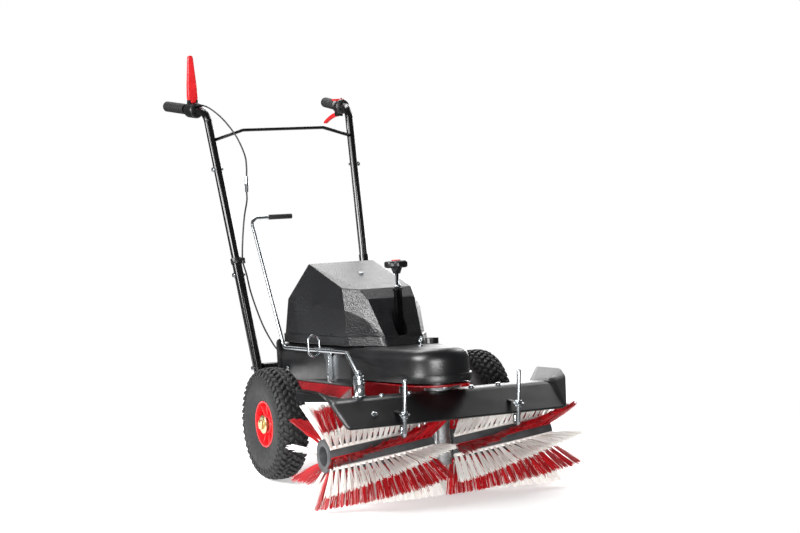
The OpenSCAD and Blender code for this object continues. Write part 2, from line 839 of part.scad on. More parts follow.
clip_l = 16;
clip_wall = 2.5;
module cable_clip() color("#1a1a1a") machine() {
  spot = cable_route[11];
  run = unit(cable_route[12] - cable_route[10]);
  lean_up = both(up, -1);
  tube_spot = both(tube_at(spot[2]), -1);
  difference() {
    union() {
      bar(tube_spot - lean_up * clip_l / 2, tube_spot + lean_up * clip_l / 2, lower_r + clip_wall);
      bar(spot - run * clip_l / 2, spot + run * clip_l / 2, cable_d / 2 + 2 * clip_wall);
    }
    bar(tube_spot - lean_up * clip_l, tube_spot + lean_up * clip_l, lower_r + run_fit);
    bar(spot - run * clip_l, spot + run * clip_l, cable_d / 2 + clear);
  }
}

// Swivel rod with its eye, sleeve grip, guide bracket and stud
stud_x = 224;
stud_r = 6;
stud_drop = 12;
stud_h = 64;
eye_lift = 47;
eye_t = 8;
eye_out = 8;
rod_x = 150;
rod_lift = 97;
rod_front = 129;
rod_rear = 304;
rod_top = [506, 475];
rod_end_x = 22;
rod_bend = 24;
sleeve_wall = 2.5;
grip_sleeve_l = 74;
stud_nut_r = 10;
stud_nut_t = 7;
rod_gap = 2;

module swivel_rod() color("silver") on_deck() {
  eye = [-stud_x, -swivel_ahead, eye_lift];
  knee = [-rod_x, -rod_front, rod_lift];
  difference() {
    union() {
      bent_bar([
        eye + unit(knee - eye) * (stud_nut_r + rod_gap), knee, [-rod_x, rod_rear, rod_lift],
        [-rod_x, rod_top[0], rod_top[1]], [-rod_end_x, rod_top[0], rod_top[1]]
      ], rod_r, rod_bend);
      translate(eye - [0, 0, eye_t / 2]) cylinder(r = stud_r + eye_out, h = eye_t);
    }
    translate(eye - [0, 0, stud_h / 2]) cylinder(r = stud_r + clear, h = stud_h);
  }
}

module swivel_grip() color("#141414") on_deck()
  translate([-rod_end_x + seat + sleeve_wall, rod_top[0], rod_top[1]]) rotate([0, -90, 0])
    difference() {
      cylinder(r = rod_r + sleeve_wall, h = grip_sleeve_l);
      translate([0, 0, sleeve_wall]) cylinder(r = rod_r + run_fit, h = grip_sleeve_l);
    }

bracket_t = 3;
bracket_foot = [35, 64];
bracket_low = 6;
bracket_high = 102;
bracket_arm = 14;
bracket_rear = 150;
ring_behind = 89;
ring_lift = 108;
ring_wire_r = 3.5;
ring_half_w = 16.5;
ring_half_l = 12.5;
peg_r = 5;
bracket_x = cover_w / 2 + seat;
bolt_spots = [[49, 26], [353, 32]];

module guide_ring()
  translate([-rod_x, ring_behind, ring_lift]) rotate([90, 0, 0]) {
    for (s = [0, 1]) {
      mirror([0, s, 0]) translate([0, ring_half_l, 0])
        rotate_extrude(angle = 180) translate([ring_half_w, 0]) circle(r = ring_wire_r);
      mirror([s, 0, 0]) translate([ring_half_w, -ring_half_l, 0]) rotate([-90, 0, 0])
        cylinder(r = ring_wire_r, h = 2 * ring_half_l);
    }
  }

module rod_bracket() color("silver") on_deck() {
  guide_ring();
  translate([-bracket_x - bracket_t, 0, 0]) {
    translate([0, bracket_foot[0], bracket_low])
      cube([bracket_t, bracket_foot[1] - bracket_foot[0], bracket_high - bracket_low]);
    translate([0, bracket_foot[0], bracket_high - bracket_arm])
      cube([bracket_t, bracket_rear - bracket_foot[0], bracket_arm]);
  }
  difference() {
    translate([-rod_x + ring_half_w, ring_behind, bracket_high - bracket_arm / 2]) rotate([0, 90, 0])
      cylinder(r = peg_r, h = rod_x - ring_half_w - bracket_x - bracket_t / 2);
    translate([-rod_x + ring_half_w, ring_behind, bracket_low])
      cylinder(r = ring_wire_r + run_fit, h = 2 * bracket_high);
    translate([-rod_x + ring_half_w, ring_behind, ring_lift - ring_half_l]) rotate([90, 0, 0])
      cylinder(r = ring_wire_r + run_fit, h = 2 * peg_r, center = true);
  }
}

module cover_bolts() color("silver") on_deck() {
  hood_screw();
  for (s = [-1, 1])
    translate([s * bracket_x, bolt_spots[1][0], bolt_spots[1][1]]) rotate([0, s * 90, 0])
      bolt_head(bolt_r);
  translate([-bracket_x - bracket_t, bolt_spots[0][0], bolt_spots[0][1]]) rotate([0, -90, 0])
    bolt_head(bolt_r);
}

module swivel_stud() on_deck()
  translate([-stud_x, -swivel_ahead, 0]) {
    translate([0, 0, -stud_drop]) cylinder(r = stud_r, h = stud_drop + stud_h);
    for (z = [eye_lift + eye_t / 2 + clear, eye_lift - eye_t / 2 - clear - stud_nut_t])
      translate([0, 0, z]) cylinder(r = stud_nut_r, h = stud_nut_t, $fn = 6);
  }

// Guard: one folded sheet with flared wings, and the bar that carries it
guard_t = 3.5;
wing_x = guard_w / 2;
lip_inset = 46;
crease_inset = 32;
inner_inset = 75;
lip_x = wing_x - lip_inset;
crease_x = wing_x - crease_inset;
inner_x = wing_x - inner_inset;
wing_rise = 18;
wing_front_rise = 30;
wing_rear_rise = 13;
wing_leads = [67, 31];
wing_front = [for (l = wing_leads) brush_ahead + l];
wing_trail = 103;
wing_rear = brush_ahead - wing_trail;
skirt_drop = 46;
neck_flange_r = 36;
neck_flange_t = 8;
guard_edge = [
  [lip_x, -lip_ahead, lip_h], [wing_x - 2 * guard_t, -wing_front[0], guard_h + wing_rise],
  [crease_x, -crease_ahead, guard_h], [wing_x, -wing_front[1], guard_h + wing_front_rise],
  [inner_x, -flange_ahead, guard_h], [wing_x, -wing_rear, guard_h + wing_rear_rise]
];

module guard_sheet() {
  top = concat(guard_edge, [for (p = guard_edge) both(p, -1)]);
  n = len(top);
  skin = [
    [0, 1, 2], [1, 3, 2], [2, 3, 4], [3, 5, 4], [0, 2, 6], [2, 8, 6], [2, 4, 8], [4, 10, 8],
    [8, 7, 6], [8, 9, 7], [10, 9, 8], [10, 11, 9]
  ];
  rim = [0, 1, 3, 5, 4, 10, 11, 9, 7, 6];
  polyhedron(
    points = concat(top, [for (p = top) p - [0, 0, guard_t]]),
    faces = concat(
      [for (f = skin) [f[0], f[2], f[1]]],
      [for (f = skin) [f[0] + n, f[1] + n, f[2] + n]],
      [for (i = [0:len(rim) - 1]) let (a = rim[i], b = rim[(i + 1) % len(rim)]) [a, b, b + n]],
      [for (i = [0:len(rim) - 1]) let (a = rim[i], b = rim[(i + 1) % len(rim)]) [a, b + n, a + n]]
    )
  );
}

module guard_skirt(side) {
  a = guard_edge[4];
  b = guard_edge[5];
  d = b - a;
  l = norm([d[0], d[1]]) - guard_t;
  translate(both(a, side)) mirror([side < 0 ? 1 : 0, 0, 0]) rotate([0, 0, atan2(d[1], d[0])])
    rotate([90, 0, 0]) translate([0, 0, seat])
      linear_extrude(guard_t)
        polygon([
          [guard_t, -guard_t / 2], [l, d[2] - guard_t / 2], [l, d[2] - skirt_drop / 2],
          [l - skirt_drop / 2, d[2] - skirt_drop], [l / 2, d[2] / 2 - skirt_drop / 4],
          [guard_t, -guard_t]
        ]);
}

module neck_cut(r) {
  translate([0, axle_y, deck_h]) rotate([-pitch, 0, 0])
    translate([0, -swivel_ahead, -2 * skirt_drop]) cylinder(r = r, h = 4 * skirt_drop);
}
module stud_cut() {
  translate([0, axle_y, deck_h]) rotate([-pitch, 0, 0])
    translate([-stud_x, -swivel_ahead, -stud_drop - over]) cylinder(r = stud_r + run_fit, h = stud_h);
}

module guard() color("#202224")
  difference() {
    machine() {
      guard_sheet();
      for (s = [-1, 1]) guard_skirt(s);
    }
    neck_cut(neck_flange_r + clear);
    stud_cut();
  }

bar_half = 196;
bar_t = 4.4;
bar_leads = [36, 4];
bar_front = brush_ahead + bar_leads[0];
bar_rear = brush_ahead + bar_leads[1];
neck_gap = 2;
neck_r = core_gap / 2 - neck_gap;
module guard_bar() color("#2a2c2e")
  difference() {
    machine() translate([-bar_half, -bar_front, guard_h - guard_t - bar_t])
      cube([2 * bar_half, bar_front - bar_rear, bar_t]);
    neck_cut(neck_r + run_fit);
  }

guard_bolt_x = [90, 170];
guard_bolt_lead = 21;
guard_bolt_ahead = brush_ahead + guard_bolt_lead;
apron_bolt_x = 226;
apron_bolt_share = 0.566;
module guard_bolts() color("silver") {
  swivel_stud();
  machine()
    for (s = [-1, 1], x = guard_bolt_x)
      translate([s * x, -guard_bolt_ahead, guard_h]) bolt_head(bolt_r);
  machine()
    translate([
      -apron_bolt_x, -mix(crease_ahead, lip_ahead, apron_bolt_share), mix(guard_h, lip_h, apron_bolt_share)
    ])
      rotate([atan((guard_h - lip_h) / (lip_ahead - crease_ahead)), 0, 0])
        translate([0, 0, seat]) bolt_head(bolt_r);
}

hook_low = 210;
hook_top = 347;
hook_tip = 226;
hook_turn = 8.8;
hook_chamfer = 2;
hook_plate_h = 255;
hook_plate_w = 27;
hook_plate_t = 4;
hook_nut_r = 9;
hook_nut_t = 6;
thread_h = 0.4;
thread_past = 3;
pin_free_r = hook_r - thread_h;
pin_foot = hook_plate_h + hook_plate_t + hook_nut_t + thread_past;
module hook_rod(side) color("silver") machine()
  translate([side * hook_span / 2, -hook_ahead, 0]) {
    translate([0, 0, hook_low]) cylinder(r = hook_r, h = pin_foot - hook_low);
    translate([0, 0, pin_foot]) cylinder(r = pin_free_r, h = hook_top - hook_chamfer - pin_foot);
    translate([0, 0, hook_top - hook_chamfer])
      cylinder(r1 = pin_free_r, r2 = pin_free_r - hook_chamfer, h = hook_chamfer);
    translate([0, hook_turn, hook_low]) rotate([0, 90, 0]) rotate([0, 0, -90])
      rotate_extrude(angle = 180) translate([hook_turn, 0]) circle(r = hook_r);
    translate([0, 2 * hook_turn, hook_low]) cylinder(r = hook_r, h = hook_tip - hook_low);
  }
module hook_rod_left() hook_rod(-1);
module hook_rod_right() hook_rod(1);

module hook_plates() color("silver") machine() {
  slope = (lip_ahead - crease_ahead) / (guard_h - lip_h);
  rear = lip_ahead - (hook_plate_h - lip_h) * slope + seat;
  for (s = [-1, 1])
    difference() {
      union() {
        translate([s * hook_span / 2 - hook_plate_w / 2, -front_reach, hook_plate_h])
          cube([hook_plate_w, front_reach - rear, hook_plate_t]);
        translate([s * hook_span / 2, -hook_ahead, hook_plate_h - hook_nut_t])
          cylinder(r = hook_nut_r, h = 2 * hook_nut_t + hook_plate_t, $fn = 6);
      }
      translate([s * hook_span / 2, -hook_ahead, 0]) cylinder(r = hook_r + run_fit, h = hook_top);
    }
}

// Worm gearbox: upright neck that swivels in the tongue, cross casing between the brush tubes
case_r = 40;
case_gap = 4;
worm_r = 9;
worm_low = 198;
worm_bore_low = 120;
collar_r = 37;
collar_t = 5;
bearing_r = 30;
module gearbox() color("#a9adb0") {
  difference() {
    union() {
      on_deck() translate([0, -swivel_ahead, 0]) {
        translate([0, 0, -worm_low]) cylinder(r = neck_r, h = worm_low);
        translate([0, 0, tongue_rise - swivel_boss_h - clear - neck_flange_t])
          cylinder(r = neck_flange_r, h = neck_flange_t);
        translate([0, 0, -over]) cylinder(r = journal_r, h = tongue_rise + over + clear);
        translate([0, 0, tongue_rise + clear]) cylinder(r = collar_r, h = collar_t);
      }
      machine() translate([0, -brush_ahead, brush_r]) rotate([0, 90, 0]) {
        cylinder(r = case_r, h = core_gap - 2 * case_gap, center = true);
        cylinder(r = bearing_r, h = core_gap - case_gap, center = true);
      }
    }
    on_deck() translate([0, -swivel_ahead, -worm_bore_low]) cylinder(r = worm_r + run_fit, h = 2 * worm_low);
    machine() translate([0, -brush_ahead, brush_r]) rotate([0, 90, 0])
      cylinder(r = shaft_d / 2 + run_fit, h = 2 * core_gap, center = true);
  }
}

// Brush: shaft, two tubes and the helical tuft rows
ring_bore_r = 25.5;
ring_depth = 44;
module on_brush() {
  machine() translate([0, -brush_ahead, brush_r]) children();
}

module brush_shaft() color("silver") on_brush()
  rotate([0, 90, 0]) cylinder(d = shaft_d, h = core_gap + 2 * (core_l - ring_depth), center = true);

module brush_core(side) color("#3a3d40") on_brush()
  translate([side * core_gap / 2, 0, 0]) rotate([0, side * 90, 0])
    difference() {
      cylinder(r = core_r, h = core_l);
      translate([0, 0, -over]) cylinder(r = shaft_d / 2 + run_fit, h = core_l + 2 * over);
      translate([0, 0, core_l - ring_depth]) cylinder(r = ring_bore_r, h = ring_depth + over);
    }
module brush_core_left() brush_core(-1);
module brush_core_right() brush_core(1);

strip_gap = 0.25;
strip_t = 5;
strip_half = 4;
strip_rings = 9;
strip_margin = 4;
root_sink = 3;
tuft_margin = 7;
strip_in = core_gap / 2 + strip_margin;
strip_out = core_gap / 2 + core_l - strip_margin;
tuft_in = core_gap / 2 + tuft_margin;
tuft_out = core_gap / 2 + core_l - tuft_margin;
root_r = core_r + strip_gap + strip_t - root_sink;

// A point on the brush from its place along the axis, its radius and its angle
function polar(x, r, a) = [x, r * cos(a), r * sin(a)];
function half_start(x) = x > 0 ? core_gap / 2 : -core_gap / 2 - core_l;
function row_angle(row, x) = row * 360 / tuft_rows + row_twist * (x - half_start(x)) / core_l;
function lean(share) = tuft_lean * share * share;

function strip_ring(side, row, i) = let (
  x = side * mix(strip_in, strip_out, i / (strip_rings - 1)),
  a = row_angle(row, x),
  lo = core_r + strip_gap,
  w = side * strip_half / core_r * 180 / PI
) [
  polar(x, lo / cos(w), a - w), polar(x, lo / cos(w), a + w),
  polar(x, lo + strip_t, a + w), polar(x, lo + strip_t, a - w)
];

module strips(side, rows) {
  polyhedron(
    points = [for (row = rows, i = [0:strip_rings - 1], p = strip_ring(side, row, i)) p],
    faces = [for (j = [0:len(rows) - 1]) let (s = j * strip_rings * 4, e = s + strip_rings * 4 - 4) each concat(
      [[s, s + 2, s + 1], [s, s + 3, s + 2], [e, e + 1, e + 2], [e, e + 2, e + 3]],
      [for (i = [0:strip_rings - 2], k = [0:3]) let (b = s + i * 4) [b + k, b + (k + 1) % 4, b + 4 + k]],
      [for (i = [0:strip_rings - 2], k = [0:3]) let (b = s + i * 4)
        [b + (k + 1) % 4, b + 4 + (k + 1) % 4, b + 4 + k]]
    )]
  );
}

// One tuft: three corners at the root and three at the tip
function tuft(side, row, share) = let (
  x = mix(tuft_in, tuft_out, share),
  a = row_angle(row, side * x),
  out = lean(share),
  reach = brush_r - root_r,
  tip_r = root_r + sqrt(reach * reach - out * out),
  across = [0, -sin(a), cos(a)]
) [for (k = [0:5]) let (
  turn = (k % 3) * 120 + 90,
  base = k < 3 ? polar(side * x, root_r, a) : polar(side * (x + out), tip_r, a)
) base + tuft_t / 2 * ([side * cos(turn), 0, 0] + across * sin(turn))];

module tufts(side, rows) {
  n = len(rows) * tufts_in_row;
  flip = side > 0;
  polyhedron(
    points = [for (row = rows, i = [0:tufts_in_row - 1], p = tuft(side, row, i / (tufts_in_row - 1))) p],
    faces = [for (j = [0:n - 1], f = [
      [0, 1, 2], [3, 5, 4], [0, 3, 1], [1, 3, 4], [1, 4, 2], [2, 4, 5], [2, 5, 0], [0, 5, 3]
    ]) let (b = j * 6) flip ? [f[0] + b, f[2] + b, f[1] + b] : [f[0] + b, f[1] + b, f[2] + b]]
  );
}

module bristles(side, first) on_brush() {
  rows = [for (k = [0:tuft_rows / 2 - 1]) 2 * k + first];
  resize([0, 0, 0]) union() {
    strips(side, rows);
    tufts(side, rows);
  }
}
module bristles_left_white() color("white") bristles(-1, 0);
module bristles_left_red() color("red") bristles(-1, 1);
module bristles_right_white() color("white") bristles(1, 0);
module bristles_right_red() color("red") bristles(1, 1);

// Height adjuster with its jockey wheel
spindle_top = 258;
spindle_low = -70;
strut_r = 8.4;
screw_rod_r = 5;
cap_ring_r = 14;
cap_ring_t = 8;
screw_low = 96;
screw_collar_r = 9;
screw_collar_t = 9;
knob_low = 315;
knob_t = 20;
knob_lobes = 6;
lobe_r = 9;
lobe_share = 0.36;
knob_cap_t = 3;
jockey_r = 40;
jockey_w = 30;
fork_t = 4;
fork_gap = 1;
fork_l = 34;
jockey_pin_r = 5;
strut_top = 150;
strut_bore_low = 60;
jockey_low = (jockey_r - deck_h - spindle_ahead * sin(pitch)) / cos(pitch);

module on_spindle() {
  on_deck() translate([0, -spindle_ahead, 0]) children();
}

module spindle_tube() color("#1a1a1a") on_spindle()
  difference() {
    union() {
      translate([0, 0, spindle_low]) cylinder(r = spindle_tube_r, h = spindle_top - spindle_low);
      translate([0, 0, spindle_top - cap_ring_t / 2]) cylinder(r = cap_ring_r, h = cap_ring_t);
    }
    translate([0, 0, spindle_low - over])
      cylinder(r = strut_r + run_fit, h = spindle_top - spindle_low + over - cap_ring_t);
    cylinder(r = screw_rod_r + run_fit, h = 2 * spindle_top);
  }

module height_spindle() color("silver") on_spindle() {
  translate([0, 0, screw_low]) cylinder(r = screw_rod_r, h = knob_low + knob_t / 2 - screw_low);
  translate([0, 0, spindle_top + cap_ring_t / 2 + clear]) cylinder(r = screw_collar_r, h = screw_collar_t);
}

module height_knob() color("#151515") on_spindle()
  difference() {
    translate([0, 0, knob_low]) {
      cylinder(r = knob_d * lobe_share, h = knob_t);
      for (k = [0:knob_lobes - 1])
        rotate([0, 0, k * 360 / knob_lobes])
          translate([knob_d / 2 - lobe_r, 0, 0]) cylinder(r = lobe_r, h = knob_t);
    }
    translate([0, 0, knob_low - over]) cylinder(r = screw_rod_r + run_fit, h = knob_t / 2 + over + seat);
  }

module knob_cap() color("red") on_spindle()
  translate([0, 0, knob_low + knob_t]) cylinder(r = knob_d * lobe_share - lobe_r, h = knob_cap_t);

module support_strut() color("silver") on_spindle()
  difference() {
    union() {
      translate([0, 0, jockey_low + jockey_r + 2 * fork_gap])
        cylinder(r = strut_r, h = strut_top - jockey_low - jockey_r - 2 * fork_gap);
      translate([-jockey_w / 2 - fork_gap - fork_t, -strut_r, jockey_low + jockey_r + 2 * fork_gap])
        cube([jockey_w + 2 * fork_gap + 2 * fork_t, 2 * strut_r, 2 * fork_t]);
      for (s = [-1, 1])
        translate([s * (jockey_w / 2 + fork_gap + fork_t / 2) - fork_t / 2, -strut_r, jockey_low - strut_r])
          cube([fork_t, 2 * strut_r, jockey_r + strut_r + 2 * fork_gap + fork_t]);
      translate([0, 0, jockey_low]) rotate([0, 90, 0])
        cylinder(r = jockey_pin_r, h = jockey_w + 2 * fork_gap + 3 * fork_t, center = true);
    }
    translate([0, 0, strut_bore_low]) cylinder(r = screw_rod_r + run_fit, h = strut_top);
  }

jockey_round = 5;
module support_wheel() color("dimgray") on_spindle()
  translate([0, 0, jockey_low]) rotate([0, 90, 0])
    rotate_extrude()
      difference() {
        translate([jockey_pin_r + run_fit, -jockey_w / 2])
          square([jockey_r - jockey_pin_r - run_fit, jockey_w]);
        for (s = [-1, 1])
          translate([jockey_r, s * jockey_w / 2]) rotate([0, 0, 45]) square(2 * jockey_round, center = true);
      }

// Drive under the covers
belt_lift = 44;
belt_w = 14;
pulley_rim = 3;
belt_t = 6;
pulley_r = 58;
motor_pulley_r = 32;
pulley_t = 22;
groove = 5;
motor_ahead = 60;
motor_r = 52;
motor_h = 132;
motor_foot = 74;
motor_plate = 124;
motor_plate_t = 5;
leg_r = 6;
motor_shaft_r = 7;

module pulley(r, hole) {
  rotate_extrude() polygon([
    [hole, 0], [r, 0], [r, pulley_rim], [r - groove, pulley_rim],
    [r - groove, pulley_t - pulley_rim], [r, pulley_t - pulley_rim], [r, pulley_t], [hole, pulley_t]
  ]);
}

module on_drive(ahead) {
  on_deck() translate([0, -ahead, 0]) children();
}

module brush_pulley() color("#54575a") on_drive(swivel_ahead) {
  translate([0, 0, belt_lift - pulley_t / 2]) pulley(pulley_r, worm_r - run_fit);
  translate([0, 0, clear - worm_bore_low]) cylinder(r = worm_r, h = worm_bore_low + belt_lift + pulley_t);
}

module motor_pulley() color("#54575a") on_drive(motor_ahead) {
  translate([0, 0, belt_lift - pulley_t / 2]) pulley(motor_pulley_r, motor_shaft_r + run_fit - clear);
  translate([0, 0, belt_lift - pulley_t / 2])
    cylinder(r = motor_shaft_r, h = motor_foot - belt_lift + pulley_t);
}

module drive_motor() color("#8d9296") on_drive(motor_ahead)
  difference() {
    union() {
      translate([0, 0, motor_foot]) cylinder(r = motor_r, h = motor_h);
      translate([-motor_plate / 2, -motor_plate / 2, motor_foot - motor_plate_t])
        cube([motor_plate, motor_plate, motor_plate_t]);
      for (sx = [-1, 1], sy = [-1, 1]) {
        y = sy * (motor_plate / 2 - leg_r);
        foot = y - motor_ahead < -tongue_rear ? tongue_rise : 0;
        translate([sx * (motor_plate / 2 - leg_r), y, foot])
          cylinder(r = leg_r, h = motor_foot - motor_plate_t / 2 - foot);
      }
    }
    translate([0, 0, motor_foot - pulley_t]) cylinder(r = motor_shaft_r + run_fit, h = 2 * pulley_t);
  }

battery_w = 150;
battery_front = 60;
battery_rear = 236;
battery_h = 140;
battery_lid = 24;
battery_step = 4;
module battery_pack() color("#2d3a4a") on_deck() {
  translate([-battery_w / 2, battery_front, 0])
    cube([battery_w, battery_rear - battery_front, battery_h - battery_lid]);
  translate([-battery_w / 2 + battery_step, battery_front + battery_step, battery_h - battery_lid])
    cube([battery_w - 2 * battery_step, battery_rear - battery_front - 2 * battery_step, battery_lid]);
}

module belt_loop(t) {
  hull() {
    translate([0, -swivel_ahead]) circle(r = pulley_r + t);
    translate([0, -motor_ahead]) circle(r = motor_pulley_r + t);
  }
}
module drive_belt() color("#18181a") on_deck()
  translate([0, 0, belt_lift - belt_w / 2])
    linear_extrude(belt_w)
      difference() {
        belt_loop(belt_t + seat - groove);
        belt_loop(seat - groove);
      }

arm_x = 73;
arm_ahead = 130;
arm_run = [-4, -60];
arm_t = 6;
arm_half = 9;
arm_pin_r = 5;
arm_lift = 58;
idler_r = 14;
idler_w = 20;
idler_pin_r = 4;
module tension_arm() color("silver") on_deck()
  translate([arm_x, -arm_ahead, arm_lift]) {
    difference() {
      linear_extrude(arm_t)
        union() {
          circle(r = arm_half);
          translate(arm_run) circle(r = arm_half);
          rotate(atan2(arm_run[1], arm_run[0])) translate([0, -arm_half])
            square([norm(arm_run), 2 * arm_half]);
        }
      translate([0, 0, -over]) cylinder(r = arm_pin_r + run_fit, h = arm_t + 2 * over);
    }
    translate([arm_run[0], arm_run[1], -idler_w - 2 * clear]) cylinder(r = idler_pin_r, h = idler_w + arm_t);
  }

module idler_roller() color("#3b3e42") on_deck()
  translate([arm_x + arm_run[0], -arm_ahead + arm_run[1], arm_lift - clear - idler_w])
    difference() {
      cylinder(r = idler_r, h = idler_w);
      translate([0, 0, -over]) cylinder(r = idler_pin_r + run_fit, h = idler_w + 2 * over);
    }

chassis_frame();
wheel_axle();
base_cover();
hood();
cover_bolts();
eye_bolt();
rear_bracket();
handle_crossmember();
lower_tube_left();
lower_tube_right();
upper_tube_left();
upper_tube_right();
crossbar();
handle_bolts();
grip_left();
grip_right();
clutch_bracket();
clutch_lever();
trigger_bracket();
trigger_lever();
thumb_lever();
bowden_cable();
cable_adjuster();
cable_clip();
swivel_rod();
swivel_grip();
rod_bracket();
guard();
guard_bar();
guard_bolts();
hook_rod_left();
hook_rod_right();
hook_plates();
gearbox();
brush_shaft();
brush_core_left();
brush_core_right();
bristles_left_white();
bristles_left_red();
bristles_right_white();
bristles_right_red();
tyre_left();
rim_left();
hub_left();
tyre_right();
rim_right();
hub_right();
height_knob();
knob_cap();
height_spindle();
spindle_tube();
drive_motor();
battery_pack();
motor_pulley();
brush_pulley();
drive_belt();
tension_arm();
idler_roller();
support_strut();
support_wheel();
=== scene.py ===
import json
import math
import random

import bpy
from mathutils import Matrix, Vector

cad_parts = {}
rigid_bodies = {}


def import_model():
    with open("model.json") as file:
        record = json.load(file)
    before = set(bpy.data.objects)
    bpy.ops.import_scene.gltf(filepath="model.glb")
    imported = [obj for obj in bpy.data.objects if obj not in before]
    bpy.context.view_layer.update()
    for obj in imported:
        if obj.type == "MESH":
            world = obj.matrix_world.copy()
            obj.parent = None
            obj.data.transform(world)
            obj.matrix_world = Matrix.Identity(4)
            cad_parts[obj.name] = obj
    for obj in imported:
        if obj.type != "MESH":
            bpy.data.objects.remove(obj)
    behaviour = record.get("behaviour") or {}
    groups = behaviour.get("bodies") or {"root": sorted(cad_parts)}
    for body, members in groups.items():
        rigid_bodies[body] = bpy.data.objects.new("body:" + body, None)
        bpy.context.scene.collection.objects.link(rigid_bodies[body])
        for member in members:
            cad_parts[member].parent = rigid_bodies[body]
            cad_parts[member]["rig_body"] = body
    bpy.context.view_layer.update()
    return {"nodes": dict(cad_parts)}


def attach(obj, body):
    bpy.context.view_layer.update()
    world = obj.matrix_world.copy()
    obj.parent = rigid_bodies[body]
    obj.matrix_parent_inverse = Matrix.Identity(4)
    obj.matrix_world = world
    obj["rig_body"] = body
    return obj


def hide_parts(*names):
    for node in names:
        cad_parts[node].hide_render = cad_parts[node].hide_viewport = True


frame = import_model()
scene = bpy.context.scene
scene.view_settings.view_transform = "Standard"

# Shared places, in metres: the wheel axle, the deck frame on it and the brush axis
AXLE_Y = -0.2229409
WHEEL_R = 0.1525
WHEEL_X = 0.311
DECK_H = 0.240
PITCH = math.radians(7.3)
BRUSH_Y = AXLE_Y - 0.355
BRUSH_R = 0.137
DECK = Matrix.Translation((0, AXLE_Y, DECK_H)) @ Matrix.Rotation(-PITCH, 4, "X")
MACHINE = Matrix.Translation((0, AXLE_Y, 0))
SIDES = ((-1, "left"), (1, "right"))

# Places that two pieces share: the hook rods on the machine and the steering rod's eye on the deck
HOOK_X = 0.164
HOOK_Y = -0.4973
ROD_EYE = (-0.224, -0.362, 0.047)

# Distances for merging doubles and for telling whether a point lies at a place
MERGE = 0.00002
NEAR = 0.001

# Camera at the photograph's place: a long lens, low in front of the brush and to its left
CAMERA_SPOT = (-2.3443, AXLE_Y - 4.9197, 1.3098)
CAMERA_DIP = 0.1363
CAMERA_TURN = 0.4556
camera = bpy.data.objects.new("camera", bpy.data.cameras.new("camera"))
scene.collection.objects.link(camera)
camera.data.lens = 90
camera.data.sensor_width = 36
camera.data.sensor_fit = "HORIZONTAL"
camera.data.clip_end = 40
camera.location = CAMERA_SPOT
camera.rotation_euler = (math.pi / 2 - CAMERA_DIP, 0, -CAMERA_TURN)
scene.camera = camera


def linear(code):
    """An sRGB hex colour as linear red, green and blue, with full alpha."""
    parts = [int(code[i:i + 2], 16) / 255 for i in (1, 3, 5)]
    return [c / 12.92 if c <= 0.04045 else ((c + 0.055) / 1.055) ** 2.4 for c in parts] + [1.0]


def add_node(tree, kind, inputs=None, **settings):
    """A node with its settings, its values and the sockets that feed it."""
    made = tree.nodes.new(kind)
    for name, value in settings.items():
        setattr(made, name, value)
    for name, value in (inputs or {}).items():
        if isinstance(value, bpy.types.NodeSocket):
            tree.links.new(value, made.inputs[name])
        else:
            made.inputs[name].default_value = value
    return made


def new_material(name, **values):
    """A principled material: its tree, its shader and its object coordinates."""
    material = bpy.data.materials.new(name)
    material.use_nodes = True
    tree = material.node_tree
    shader = tree.nodes["Principled BSDF"]
    for socket, value in values.items():
        shader.inputs[socket.replace("_", " ")].default_value = value
    place = add_node(tree, "ShaderNodeTexCoord").outputs["Object"]
    return material, tree, shader, place


def two_tone(tree, shader, share, low, high, edges):
    """A base colour that goes from one colour to another between two edges of a share."""
    ramp = add_node(tree, "ShaderNodeValToRGB", {"Fac": share})
    for step, edge, code in zip(ramp.color_ramp.elements, edges, (low, high)):
        step.position = edge
        step.color = linear(code)
    tree.links.new(ramp.outputs["Color"], shader.inputs["Base Color"])


def tint(tree, shader, place, size, low, high, detail=3.0):
    """Two close colours in soft patches of a size in metres."""
    patch = add_node(tree, "ShaderNodeTexNoise", {"Vector": place, "Scale": 1 / size, "Detail": detail})
    two_tone(tree, shader, patch.outputs["Fac"], low, high, (0.35, 0.65))


def grain(tree, shader, place, size, depth, strength, detail=2.0):
    """A bump of a grain size and depth in metres."""
    noise = add_node(tree, "ShaderNodeTexNoise", {"Vector": place, "Scale": 1 / size, "Detail": detail})
    bump = add_node(tree, "ShaderNodeBump",
                    {"Height": noise.outputs["Fac"], "Distance": depth, "Strength": strength})
    tree.links.new(bump.outputs["Normal"], shader.inputs["Normal"])


def gloss(tree, shader, place, size, low, high):
    """Roughness that wanders between two values over patches of a size in metres."""
    noise = add_node(tree, "ShaderNodeTexNoise", {"Vector": place, "Scale": 1 / size, "Detail": 4.0})
    wander = add_node(tree, "ShaderNodeMapRange",
                      {"Value": noise.outputs["Fac"], "From Min": 0.3, "From Max": 0.7,
                       "To Min": low, "To Max": high})
    tree.links.new(wander.outputs["Result"], shader.inputs["Roughness"])


def grained_abs():
    """Black ABS, vacuum formed with a leather-like grain: grey sparkle where light grazes it."""
    material, tree, shader, place = new_material("grained_black_abs", IOR=1.54)
    tint(tree, shader, place, 0.05, "#0B0C0D", "#101113")
    gloss(tree, shader, place, 0.03, 0.27, 0.34)
    # The real grain is about 1 mm wide; it is drawn coarser, so that it shows
    grain(tree, shader, place, 0.0036, 0.0012, 1.0, detail=1.0)
    return material


def satin_abs():
    """Black ABS with a smoother mould face: broad soft highlights on the nose."""
    material, tree, shader, place = new_material("satin_black_abs", IOR=1.54)
    tint(tree, shader, place, 0.06, "#0A0B0C", "#0F1012")
    gloss(tree, shader, place, 0.04, 0.30, 0.38)
    # The real grain is about 1 mm wide; it is drawn coarser, so that it shows
    grain(tree, shader, place, 0.0030, 0.0005, 0.7, detail=1.0)
    return material


